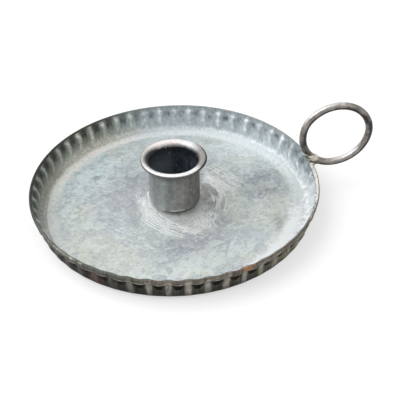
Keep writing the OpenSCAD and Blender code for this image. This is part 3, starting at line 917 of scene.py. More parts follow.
@dataclass(frozen=True)
class DrawnSteel(Finish):
    """Drawn steel, satin grey outside, bright on the lip where it is handled and where highlights are painted, and dark
    in the bore with soot and painted shade.
    """

    title = "drawn steel, satin"
    bore_r: float = 11.85
    burr_z: float = 4.3

    def build(self) -> bpy.types.Material:
        """Builds the material.

        Returns:
            The material.
        """
        material, tree, shader = self.start()
        survey = self.survey(tree)
        place_mm = survey.place_mm
        links = {"Vector": place_mm, "Scale": 0.35, "Detail": 6.0, "Roughness": 0.65}
        mottle = add(tree, "ShaderNodeTexNoise", links, "Fac")
        spread = add(tree, "ShaderNodeMapRange", {0: mottle, 1: 0.32, 2: 0.68, 3: 0.0, 4: 1.0})
        grit = add(tree, "ShaderNodeTexNoise", {"Vector": place_mm, "Scale": 1.4, "Detail": 4.0}, "Fac")
        spots = add(tree, "ShaderNodeTexVoronoi", {"Vector": place_mm, "Scale": 0.6}, "Distance")
        chance = add(tree, "ShaderNodeSeparateColor", {0: spots.node.outputs["Color"]})
        chance = add(tree, "ShaderNodeMath", {0: chance, 1: 0.85}, operation="GREATER_THAN")
        speck = add(tree, "ShaderNodeMapRange", {0: spots, 1: 0.35, 2: 0.1, 3: 0.0, 4: 0.35})
        speck = add(tree, "ShaderNodeMath", {0: speck, 1: chance}, operation="MULTIPLY")
        side = self.side_colour(tree, survey, spread, grit, speck)
        lip = self.lip_colour(tree, survey, spread, speck)
        skin = add(tree, "ShaderNodeAttribute", out="Fac", attribute_name="outer")
        colour = add(tree, "ShaderNodeMix", {0: skin, 6: lip, 7: side}, 2, data_type="RGBA")
        rough = add(tree, "ShaderNodeMapRange", {0: skin, 1: 0.0, 2: 1.0, 3: 0.28, 4: 0.46})
        tree.links.new(colour, shader.inputs["Base Color"])
        tree.links.new(rough, shader.inputs["Roughness"])
        bare = add(tree, "ShaderNodeMapRange", {0: skin, 1: 0.0, 2: 1.0, 3: 0.22, 4: 0.5})
        tree.links.new(bare, shader.inputs["Metallic"])
        tree.links.new(self.relief(tree, [(mottle, 0.06), (grit, 0.03)]), shader.inputs["Normal"])
        return material

    def side_colour(
        self, tree: bpy.types.NodeTree, survey: Survey, spread: bpy.types.NodeSocket,
        grit: bpy.types.NodeSocket, speck: bpy.types.NodeSocket
    ) -> bpy.types.NodeSocket:
        """Paints the cup's outside: lighter on the left and darker to the right, partly rubbing and partly painted
        light and shade, with a painted shadow under the lip and a painted highlight and shadow at the burr by the foot.

        Args:
            tree: The material's tree.
            survey: Where a point lies.
            spread: A mottle from 0 to 1.
            grit: A fine mottle.
            speck: A mask of small bright specks.

        Returns:
            The colour.
        """
        # Towards the right the grey is warmer and darker; the darkening is partly painted shade.
        warm = add(tree, "ShaderNodeMapRange", {0: survey.towards(tree, -40), 1: 0.0, 2: 0.9, 3: 0.0, 4: 1.0})
        tones = []
        for dark, light in (("#7C8180", "#9EA19F"), ("#6E6C65", "#93918A")):
            links = {0: spread, 6: linear(dark), 7: linear(light)}
            tones.append(add(tree, "ShaderNodeMix", links, 2, data_type="RGBA"))
        side = add(tree, "ShaderNodeMix", {0: warm, 6: tones[0], 7: tones[1]}, 2, data_type="RGBA")
        wiped = add(tree, "ShaderNodeMapping", {"Vector": survey.place_mm, "Scale": (1.0, 1.0, 0.12)})
        wiped = add(tree, "ShaderNodeTexNoise", {"Vector": wiped, "Scale": 0.3, "Detail": 3.0}, "Fac")
        wiped = add(tree, "ShaderNodeMapRange", {0: wiped, 1: 0.35, 2: 0.65, 3: 0.84, 4: 1.14})
        # Lighter towards the front left and darker behind, partly rubbing and partly painted light and shade.
        rubbed_and_lit = add(tree, "ShaderNodeMapRange", {0: survey.towards(tree, -130), 1: -0.2, 2: 0.8, 3: 0.5, 4: 1.1})
        fine = add(tree, "ShaderNodeMapRange", {0: grit, 1: 0.32, 2: 0.68, 3: 0.94, 4: 1.06})
        # Darkened just under the lip as painted shadow.
        under = add(tree, "ShaderNodeMapRange", {0: survey.height, 1: 21.0, 2: 24.6, 3: 1.0, 4: 0.55})
        for shade in (rubbed_and_lit, fine, wiped, under):
            links = {0: 1.0, 6: side, 7: shade}
            side = add(tree, "ShaderNodeMix", links, 2, data_type="RGBA", blend_type="MULTIPLY")
        side = add(tree, "ShaderNodeMix", {0: speck, 6: side, 7: linear("#C6C8C2")}, 2, data_type="RGBA")
        front = add(tree, "ShaderNodeMapRange", {0: survey.towards(tree, -95), 1: 0.95, 2: 0.98, 3: 0.0, 4: 1.0})
        foot = add(tree, "ShaderNodeMapRange", {0: survey.towards(tree, -80), 1: 0.2, 2: 0.7, 3: 0.0, 4: 1.0})
        # A dark line on the foot's rounding below the burr is painted shadow, and the burr gets a painted highlight.
        for middle, half, code, strength, where in (
            (self.burr_z - 1.5, 0.9, "#14150F", 0.65, foot),
            (self.burr_z, 0.45, "#C6C9BE", 0.85, front),
        ):
            away = add(tree, "ShaderNodeMath", {0: survey.height, 1: middle}, operation="SUBTRACT")
            away = add(tree, "ShaderNodeMath", {0: away}, operation="ABSOLUTE")
            line = add(tree, "ShaderNodeMapRange", {0: away, 1: half, 2: half * 0.5, 3: 0.0, 4: strength})
            line = add(tree, "ShaderNodeMath", {0: line, 1: where}, operation="MULTIPLY")
            side = add(tree, "ShaderNodeMix", {0: line, 6: side, 7: linear(code)}, 2, data_type="RGBA")
        return side

    def lip_colour(
        self, tree: bpy.types.NodeTree, survey: Survey, spread: bpy.types.NodeSocket, speck: bpy.types.NodeSocket
    ) -> bpy.types.NodeSocket:
        """Paints the bore dark with soot and painted shade, and the lip bright, with painted highlights and an outer
        edge darkened as painted shade.

        Args:
            tree: The material's tree.
            survey: Where a point lies.
            spread: A mottle from 0 to 1.
            speck: A mask of small bright specks.

        Returns:
            The colour.
        """
        leftward = add(tree, "ShaderNodeMapRange", {0: survey.towards(tree, 170), 1: -0.02, 2: 0.2, 3: 0.0, 4: 1.0})
        bore = add(tree, "ShaderNodeMix", {0: leftward, 6: linear("#252C3A"), 7: linear("#767E7D")}, 2, data_type="RGBA")
        bore = add(tree, "ShaderNodeMix", {0: spread, 6: bore, 7: linear("#6F7781")}, 2, data_type="RGBA")
        # Towards the mouth the bore darkens further as painted shade under the lip.
        mouth = add(tree, "ShaderNodeMapRange", {0: survey.height, 1: 15.0, 2: 26.0, 3: 0.0, 4: 0.9})
        bore = add(tree, "ShaderNodeMix", {0: mouth, 6: bore, 7: linear("#15181B")}, 2, data_type="RGBA")
        drops = add(tree, "ShaderNodeMath", {0: speck, 1: 2.4}, operation="MULTIPLY")
        bore = add(tree, "ShaderNodeMix", {0: drops, 6: bore, 7: linear("#9AA2AA")}, 2, data_type="RGBA")
        # On the left the bore's darkness creeps further up the lip's inner slope, as painted shade.
        creep = add(tree, "ShaderNodeMapRange", {0: survey.towards(tree, 190), 1: 0.3, 2: 0.97, 3: 0.65, 4: 2.35})
        creep = add(tree, "ShaderNodeMath", {0: spread, 1: 0.25, 2: creep}, operation="MULTIPLY_ADD")
        deep = add(tree, "ShaderNodeMath", {0: survey.radius, 1: self.bore_r}, operation="SUBTRACT")
        deep = add(tree, "ShaderNodeMath", {0: deep, 1: creep}, operation="SUBTRACT")
        inside = add(tree, "ShaderNodeMapRange", {0: deep, 1: 1.0, 2: -0.7, 3: 0.0, 4: 1.0})
        # The lip is painted lighter and pinker at the back as painted highlight, greyer on the left and darker on the
        # right as painted shade.
        pink = add(tree, "ShaderNodeMapRange", {0: survey.towards(tree, 110), 1: 0.4, 2: 0.95, 3: 0.0, 4: 0.8})
        dim_left = add(tree, "ShaderNodeMapRange", {0: survey.towards(tree, 185), 1: 0.3, 2: 0.95, 3: 0.0, 4: 0.7})
        shaded_right = add(tree, "ShaderNodeMapRange", {0: survey.towards(tree, -12), 1: 0.55, 2: 0.9, 3: 0.0, 4: 0.85})
        lip = linear("#F4F4F5")
        for mask, code in ((pink, "#FFF6F1"), (dim_left, "#A5A29F"), (shaded_right, "#8A8784")):
            lip = add(tree, "ShaderNodeMix", {0: mask, 6: lip, 7: linear(code)}, 2, data_type="RGBA")
        # On the near side the lip's inner part gets a white painted highlight and its outer rim a grey painted shade.
        nearside = add(tree, "ShaderNodeMapRange", {0: survey.towards(tree, -108), 1: 0.35, 2: 0.65, 3: 0.0, 4: 1.0})
        for inner, outer, code, strength in ((16.0, 15.6, "#FFFFFF", 1.0), (15.9, 16.2, "#A9A6A4", 0.8)):
            band = add(tree, "ShaderNodeMapRange", {0: survey.radius, 1: inner, 2: outer, 3: 0.0, 4: strength})
            band = add(tree, "ShaderNodeMath", {0: band, 1: nearside}, operation="MULTIPLY")
            lip = add(tree, "ShaderNodeMix", {0: band, 6: lip, 7: linear(code)}, 2, data_type="RGBA")
        pitted = add(tree, "ShaderNodeTexNoise", {"Vector": survey.place_mm, "Scale": 1.1, "Detail": 5.0}, "Fac")
        pitted = add(tree, "ShaderNodeMapRange", {0: pitted, 1: 0.34, 2: 0.5, 3: 0.84, 4: 1.05})
        lip = add(tree, "ShaderNodeMix", {0: 1.0, 6: lip, 7: pitted}, 2, data_type="RGBA", blend_type="MULTIPLY")
        # The lip's outer edge is painted dark as painted shade, reaching further in on the right and lighter at the
        # front.
        reach = add(tree, "ShaderNodeMath", {0: shaded_right, 1: 0.6, 2: survey.radius}, operation="MULTIPLY_ADD")
        rim = add(tree, "ShaderNodeMapRange", {0: reach, 1: 15.95, 2: 16.3, 3: 0.0, 4: 1.0})
        shady = add(tree, "ShaderNodeMapRange", {0: survey.towards(tree, -95), 1: 0.5, 2: 0.9, 3: 1.0, 4: 0.8})
        rim = add(tree, "ShaderNodeMath", {0: rim, 1: shady}, operation="MULTIPLY")
        lip = add(tree, "ShaderNodeMix", {0: rim, 6: lip, 7: linear("#2E2D2A")}, 2, data_type="RGBA")
        return add(tree, "ShaderNodeMix", {0: inside, 6: lip, 7: bore}, 2, data_type="RGBA")


@dataclass(frozen=True)
class MottledMetal(Finish):
    """A metal in two tones that mix in soft spots, darker with grime and painted shade on the side turned from the
    light and lighter with wear and a painted highlight on the side turned to it: solder, wire or braze.
    """

    title: str
    dark: str
    light: str
    grime_and_shade: str
    wear_and_highlight: str
    spot_mm: float
    metallic: float
    roughness: float
    depth_mm: float
    wear_and_light_way: tuple[float, float, float] = (-0.45, -0.1, 0.89)

    def build(self) -> bpy.types.Material:
        """Builds the material.

        Returns:
            The material.
        """
        material, tree, shader = self.start()
        survey = self.survey(tree)
        links = {"Vector": survey.place_mm, "Scale": 1 / self.spot_mm, "Detail": 6.0, "Roughness": 0.6}
        spots = add(tree, "ShaderNodeTexNoise", links, "Fac")
        spread = add(tree, "ShaderNodeMapRange", {0: spots, 1: 0.3, 2: 0.7, 3: 0.0, 4: 1.0})
        colour = add(tree, "ShaderNodeMix", {0: spread, 6: linear(self.dark), 7: linear(self.light)}, 2, data_type="RGBA")
        # Faces turned up and to the left get a painted highlight with wear, and faces turned from there get painted
        # shade with grime.
        slope = add(tree, "ShaderNodeNewGeometry", out="Normal")
        slope = add(tree, "ShaderNodeVectorMath", {0: slope, 1: self.wear_and_light_way}, "Value", operation="DOT_PRODUCT")
        slope = add(tree, "ShaderNodeMath", {0: spread, 1: 0.25, 2: slope}, operation="MULTIPLY_ADD")
        for low, high, code in ((0.84, 1.1, self.wear_and_highlight), (0.5, 0.12, self.grime_and_shade)):
            mask = add(tree, "ShaderNodeMapRange", {0: slope, 1: low, 2: high, 3: 0.0, 4: 1.0})
            colour = add(tree, "ShaderNodeMix", {0: mask, 6: colour, 7: linear(code)}, 2, data_type="RGBA")
        tree.links.new(colour, shader.inputs["Base Color"])
        shader.inputs["Metallic"].default_value = self.metallic
        shader.inputs["Roughness"].default_value = self.roughness
        tree.links.new(self.relief(tree, [(spots, self.depth_mm)]), shader.inputs["Normal"])
        return material


@dataclass
class Pan:
    """The pressed pan: floor, corner, fluted wall and folded hem in one sheet. Sizes in millimetres."""

    inset: float = 0.015
    sheet: float = 0.6
    corner_r: float = 4.5
    lean: float = 9.5
    hem_h: float = 2.4
    hem_gap: float = 0.3
    flutes: int = 51
    flute_depth: float = 1.3
    flute_r: float = 3.0
    flute_band: float = 0.8
    flute_phase: float = 1.3
    flute_wander: float = 1.4
    run_out: tuple[float, float] = (1.5, 8.0)
    lip_reach: float = 1.6
    steps_per_flute: int = 16
    finish: Finish = field(default_factory=GalvanisedSheet)

    def __post_init__(self) -> None:
        """Takes the overall size from the CAD node, and works out the fold and the corner."""
        low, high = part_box(Part.PAN.value)
        self.diameter = (high.y - low.y) / MM - 2 * self.inset
        self.height = high.z / MM - self.inset
        self.fold_r = self.sheet + self.hem_gap / 2
        self.fold_x = self.diameter / 2 - self.fold_r
        self.fold_z = self.height - self.fold_r
        self.corner_x = self.wall_outside(self.corner_r) - self.corner_r / math.cos(math.radians(self.lean))

    def wall_outside(self, height: float) -> float:
        """Radius of the wall's outer face at a height."""
        lean = math.radians(self.lean)
        return self.fold_x - self.hem_gap / 2 / math.cos(lean) - (self.fold_z - height) * math.tan(lean)

    def press_at(self, radius: float, height: float) -> float:
        """How much of the flute's depth the tool presses at a point of the outer face.

        Args:
            radius: The point's radius.
            height: The point's height.

        Returns:
            A share from 0 to 1, which runs out towards the pan's foot.
        """
        reach = radius - (self.wall_outside(height) - self.flute_depth)
        nose = max(0.0, height - (self.fold_z - self.flute_band - self.flute_r))
        depth = math.sqrt(max(0.0, self.flute_r ** 2 - nose ** 2)) - (self.flute_r - self.flute_depth)
        share = min(max(min(reach, depth) / self.flute_depth, 0.0), 1.0)
        return share * (0.15 + 0.85 * smooth_step(*self.run_out, height))

    def beside_fold(self, out: float, down: float) -> tuple[float, float]:
        """A point beside the fold: out from it square to the wall, and down along it."""
        lean = math.radians(self.lean)
        x = self.fold_x + out * math.cos(lean) - down * math.sin(lean)
        return x, self.fold_z - out * math.sin(lean) - down * math.cos(lean)

    def section(self) -> list[Station]:
        """Draws the section, from the axis out along the underside and back over the top.

        Returns:
            The section's stations.
        """
        lean = math.radians(self.lean)
        corner, fold = (self.corner_x, self.corner_r), (self.fold_x, self.fold_z)
        gap = self.hem_gap / 2
        leg = self.hem_h - self.sheet / 2
        outer_corner = arc(corner, self.corner_r, -90, -self.lean, 12)
        inner_corner = arc(corner, self.corner_r - self.sheet, -90, -self.lean, 12)
        foot, top = Vector(outer_corner[-1]), Vector(self.beside_fold(-gap, 0))
        wall = [foot.lerp(top, k / 22) for k in range(1, 22)]
        stations = [Station(0.0, 0.0, outer=1.0)]
        stations += [Station(r, 0.0, outer=1.0) for r in np.linspace(4, self.corner_x, 9)[:-1]]
        stations += [Station(r, z, self.press_at(r, z), outer=1.0) for r, z in outer_corner]
        for x, z in wall:
            lip = smooth_step(self.lip_reach, 0.0, self.fold_z - z)
            stations.append(Station(x, z, self.press_at(x, z), lip, 1.0))
        for k, (r, z) in enumerate(arc(fold, gap, 180 - self.lean, -self.lean, 6)):
            stations.append(Station(r, z, lip=1.0 - k / 6, outer=1.0))
        for share in (0.3, 0.6, 0.9):
            stations.append(Station(*self.beside_fold(gap, leg * share), outer=1.0, leg=share))
        for r, z in arc(self.beside_fold(gap + self.sheet / 2, leg), self.sheet / 2, 180 - self.lean, 360 - self.lean, 6):
            stations.append(Station(r, z, outer=1.0, edge=1.0, leg=1.0))
        for share in (0.8, 0.6, 0.4, 0.2):
            stations.append(Station(*self.beside_fold(self.fold_r, leg * share), outer=1.0, leg=share))
        for k, (r, z) in enumerate(arc(fold, self.fold_r, -self.lean, 180 - self.lean, 14)):
            outer = 1.0 - smooth_step(0.3, 0.7, k / 14)
            stations.append(Station(r, z, lip=smooth_step(0.2, 0.9, k / 14), outer=outer))
        across = Vector((-math.cos(lean), math.sin(lean))) * self.sheet
        for x, z in reversed(wall):
            lip = smooth_step(self.lip_reach, 0.0, self.fold_z - z)
            stations.append(Station(x + across.x, z + across.y, self.press_at(x, z), lip))
        for (ro, zo), (ri, zi) in zip(reversed(outer_corner), reversed(inner_corner)):
            stations.append(Station(ri, zi, self.press_at(ro, zo)))
        stations += [Station(r, self.sheet) for r in np.linspace(self.corner_x, 4, 18)[1:]]
        return stations + [Station(0.0, self.sheet)]

    def press_tree(self, material: bpy.types.Material) -> bpy.types.NodeTree:
        """Writes the tree that presses the flutes, shapes the hem and makes the sheet uneven.

        Args:
            material: The material that the tree gives the pan.

        Returns:
            The tree.
        """
        names = ("Flutes", "Depth", "Phase", "Wander", "Lip Dip", "Lip Swing", "Hem Wave", "Hem Grip", "Sag", "Seed")
        tree, given = new_shape_tree("press flutes", {n: "NodeSocketFloat" for n in names})
        size = given.outputs
        mark = {}
        for name in ("press", "lip", "edge", "leg"):
            mark[name] = add(tree, "GeometryNodeInputNamedAttribute", {"Name": name}, data_type="FLOAT")
        where = add(tree, "GeometryNodeInputPosition")
        plain = add(tree, "ShaderNodeVectorMath", {0: where, 1: (1, 1, 0)}, operation="MULTIPLY")
        radial = add(tree, "ShaderNodeVectorMath", {0: plain}, operation="NORMALIZE")
        far = add(tree, "ShaderNodeVectorMath", {0: plain}, "Value", operation="LENGTH")
        side = add(tree, "ShaderNodeSeparateXYZ", {0: radial}, "Y")
        angle = add(tree, "ShaderNodeMath", {0: side, 1: side.node.outputs["X"]}, operation="ARCTAN2")
        sway = add(tree, "ShaderNodeMath", {0: side, 1: size["Wander"], 2: size["Phase"]}, operation="MULTIPLY_ADD")
        turn = add(tree, "ShaderNodeMath", {0: angle, 1: sway}, operation="SUBTRACT")
        turn = add(tree, "ShaderNodeMath", {0: turn, 1: size["Flutes"]}, operation="MULTIPLY")
        count = add(tree, "ShaderNodeMath", {0: turn, 1: 1 / (2 * math.pi)}, operation="MULTIPLY")
        whole = add(tree, "ShaderNodeMath", {0: count}, operation="ROUND")
        off = add(tree, "ShaderNodeMath", {0: count, 1: whole}, operation="SUBTRACT")
        flute = add(tree, "ShaderNodeMath", {0: whole, 1: size["Flutes"]}, operation="FLOORED_MODULO")
        flute = add(tree, "ShaderNodeMath", {0: flute, 1: size["Seed"]}, operation="ADD")
        chance = add(tree, "ShaderNodeTexWhiteNoise", {"W": flute}, "Value", noise_dimensions="1D")
        astray = add(tree, "ShaderNodeMapRange", {0: chance.node.outputs["Color"], 1: 0.0, 2: 1.0, 3: -0.03, 4: 0.03})
        off = add(tree, "ShaderNodeMath", {0: off, 1: astray}, operation="ADD")
        off = add(tree, "ShaderNodeMath", {0: off}, operation="ABSOLUTE")
        links = {0: off, 1: 0.44, 2: 0.06, 3: 0.0, 4: 1.0}
        lobe = add(tree, "ShaderNodeMapRange", links, interpolation_type="SMOOTHSTEP")
        uneven = add(tree, "ShaderNodeMapRange", {0: chance, 1: 0.0, 2: 1.0, 3: 0.84, 4: 1.0})
        push = lobe
        for factor in (mark["press"], uneven, size["Depth"]):
            push = add(tree, "ShaderNodeMath", {0: push, 1: factor}, operation="MULTIPLY")
        wave = add(tree, "ShaderNodeMath", {0: turn}, operation="COSINE")
        wave = add(tree, "ShaderNodeMath", {0: wave, 1: 0.5, 2: 0.5}, operation="MULTIPLY_ADD")
        land = add(tree, "ShaderNodeMath", {0: 1.0, 1: wave}, operation="SUBTRACT")
        ahead = add(tree, "ShaderNodeVectorMath", {0: radial, 1: (-0.087, -0.996, 0.0)}, "Value", operation="DOT_PRODUCT")
        loose = add(tree, "ShaderNodeMapRange", {0: ahead, 1: 0.86, 2: 0.97, 3: 0.22, 4: 0.7})
        loose = add(tree, "ShaderNodeMath", {0: loose, 1: mark["lip"]}, operation="MULTIPLY")
        swing = add(tree, "ShaderNodeMath", {0: wave, 1: 0.5}, operation="SUBTRACT")
        grip = land
        dip = wave
        for factor in (loose, size["Lip Swing"]):
            swing = add(tree, "ShaderNodeMath", {0: swing, 1: factor}, operation="MULTIPLY")
        for factor in (mark["leg"], size["Hem Grip"]):
            grip = add(tree, "ShaderNodeMath", {0: grip, 1: factor}, operation="MULTIPLY")
        for factor in (loose, size["Lip Dip"]):
            dip = add(tree, "ShaderNodeMath", {0: dip, 1: factor}, operation="MULTIPLY")
        out = add(tree, "ShaderNodeMath", {0: swing, 1: push}, operation="SUBTRACT")
        out = add(tree, "ShaderNodeMath", {0: out, 1: grip}, operation="SUBTRACT")
        rag = add(tree, "ShaderNodeTexNoise", {"Vector": where, "Scale": 130.0, "Detail": 2.0}, "Fac")
        rag = add(tree, "ShaderNodeMath", {0: rag, 1: wave}, operation="SUBTRACT")
        for factor in (mark["edge"], size["Hem Wave"]):
            rag = add(tree, "ShaderNodeMath", {0: rag, 1: factor}, operation="MULTIPLY")
        level = add(tree, "ShaderNodeMapRange", {0: far, 1: 62 * MM, 2: 45 * MM, 3: 0.0, 4: 1.0})
        low = add(tree, "ShaderNodeTexNoise", {"Vector": plain, "Scale": 22.0, "Detail": 1.0}, "Fac")
        for factor in (level, size["Sag"]):
            low = add(tree, "ShaderNodeMath", {0: low, 1: factor}, operation="MULTIPLY")
        rise = add(tree, "ShaderNodeMath", {0: rag, 1: dip}, operation="SUBTRACT")
        rise = add(tree, "ShaderNodeMath", {0: rise, 1: low}, operation="ADD")
        across = add(tree, "ShaderNodeVectorMath", {0: radial, 3: out}, operation="SCALE")
        lift = add(tree, "ShaderNodeCombineXYZ", {"Z": rise})
        move = add(tree, "ShaderNodeVectorMath", {0: across, 1: lift}, operation="ADD")
        skew = add(tree, "ShaderNodeMath", {0: turn}, operation="SINE")
        shaped = size["Geometry"]
        for name, value in (("flute", lobe), ("wave", wave), ("skew", skew), ("lot", chance)):
            links = {"Geometry": shaped, "Name": name, "Value": value}
            shaped = add(tree, "GeometryNodeStoreNamedAttribute", links, data_type="FLOAT")
        shaped = add(tree, "GeometryNodeSetPosition", {"Geometry": shaped, "Offset": move})
        end_shape_tree(tree, shaped, material)
        return tree

    def build(self) -> None:
        """Builds and dresses the pan."""
        piece = turn_section("fluted_pan", self.section(), self.flutes * self.steps_per_flute)
        values = {
            "Flutes": float(self.flutes),
            "Depth": self.flute_depth * MM,
            "Phase": math.radians(self.flute_phase),
            "Wander": math.radians(self.flute_wander),
            "Lip Dip": 0.7 * MM,
            "Lip Swing": 0.6 * MM,
            "Hem Wave": 0.4 * MM,
            "Hem Grip": 0.22 * MM,
            "Sag": 0.35 * MM,
            "Seed": 7.0,
        }
        run_shape_tree(piece, self.press_tree(self.finish.build()), values)
        finish_piece(piece, Part.PAN)


@dataclass
class CandleCup:
    """The drawn cup that takes the candle. Sizes in millimetres, angles in degrees."""

    sheet: float = 0.6
    bore_r: float = 11.85
    wall: float = 0.8
    height: float = 27.4
    corner_r: float = 4.0
    lip_r: float = 3.0
    lip_roll: float = 37.0
    burr_z: float = 4.3
    burr_side: float = -98.0
    steps: int = 240
    finish: Finish = field(default_factory=DrawnSteel)

    def section(self) -> list[Station]:
        """Draws the section, from the axis out under the foot and back down the bore.

        Returns:
            The section's stations. The outside is marked, and so is the lip's cut edge.
        """
        foot = (self.bore_r + self.wall - self.corner_r, self.sheet + self.corner_r)
        lip = (self.bore_r + self.lip_r, self.sheet + self.height - self.lip_r)
        edge = 90 - self.lip_roll
        skin = [(0.0, self.sheet), (4.0, self.sheet)]
        skin += arc(foot, self.corner_r, -90, 0, 24)
        skin += [(self.bore_r + self.wall, z) for z in np.linspace(foot[1], lip[1], 12)[1:-1]]
        skin += arc(lip, self.lip_r - self.wall, 180, edge + 6, 14)
        face = arc(lip, self.lip_r - self.wall * 0.5, edge + 1, edge, 1)
        inside = arc(lip, self.lip_r, edge + 5, 180, 22)
        inside += [(self.bore_r, z) for z in np.linspace(lip[1], foot[1], 10)[1:-1]]
        inside += arc(foot, self.corner_r - self.wall, 0, -90, 10)
        inside += [(4.0, self.sheet + self.wall), (0.0, self.sheet + self.wall)]
        stations = [Station(r, z, outer=1.0) for r, z in skin]
        stations += [Station(r, z, outer=1.0, edge=1.0) for r, z in face]
        return stations + [Station(r, z) for r, z in inside]

    def build(self) -> None:
        """Builds and dresses the cup."""
        piece = turn_section("drawn_cup", self.section(), self.steps)
        front = Vector((math.cos(math.radians(self.burr_side)), math.sin(math.radians(self.burr_side)), 0))
        for vertex in piece.data.vertices:
            place_mm = vertex.co / MM
            away = Vector((place_mm.x, place_mm.y, 0))
            if away.length > 5 and place_mm.z > 1:
                side = away.normalized()
                dent = noise.noise(place_mm * 0.12) * 0.10 * smooth_step(1, 3, place_mm.z)
                ridge = smooth_step(0.5, 0.1, abs(place_mm.z - self.burr_z)) * smooth_step(0.88, 0.95, side.dot(front))
                outside = smooth_step(self.bore_r - 2.0, self.bore_r - 1.5, away.length)
                vertex.co += side * (dent + 0.16 * ridge * outside) * MM
        piece.data.materials.append(self.finish.build())
        finish_piece(piece, Part.CUP)


@dataclass
class SolderSeam:
    """The bead of solder in the crevice under the cup's foot. Sizes in millimetres."""

    radius: float = 10.2
    thick: float = 0.75
    floor: float = 0.6
    rings: int = 240
    sides: int = 14

    def build(self) -> None:
        """Builds and dresses the seam."""
        mesh = bpy.data.meshes.new("solder_bead")
        points = []
        for i in range(self.rings):
            a = 2 * math.pi * i / self.rings
            way = Vector((math.cos(a), math.sin(a), 0))
            lump = 1 + 0.35 * noise.noise(way * 5) + 0.3 * max(0.0, noise.noise(way * 9))
            for j in range(self.sides):
                b = 2 * math.pi * j / self.sides
                radius = self.radius + self.thick * 1.2 * lump * math.cos(b)
                height = self.floor + 0.05 + max(-0.04, self.thick * 0.8 * lump * math.sin(b))
                points.append((way * radius + Vector((0, 0, height))) * MM)
        faces = []
        for i in range(self.rings):
            for j in range(self.sides):
                n, m = (i + 1) % self.rings, (j + 1) % self.sides
                faces.append((i * self.sides + j, n * self.sides + j, n * self.sides + m, i * self.sides + m))
        mesh.from_pydata(points, [], faces)
        mesh.shade_smooth()
        piece = place("solder_bead", mesh)
        # Its third colour is grime with painted shade and its fourth is wear with a painted highlight.
        finish = MottledMetal("tin lead solder, as it froze", "#7E807D", "#B9BAB6", "#55554F", "#C9CAC7", 1.6, 0.6, 0.45, 0.06)
        mesh.materials.append(finish.build())
        finish_piece(piece, Part.SOLDER)


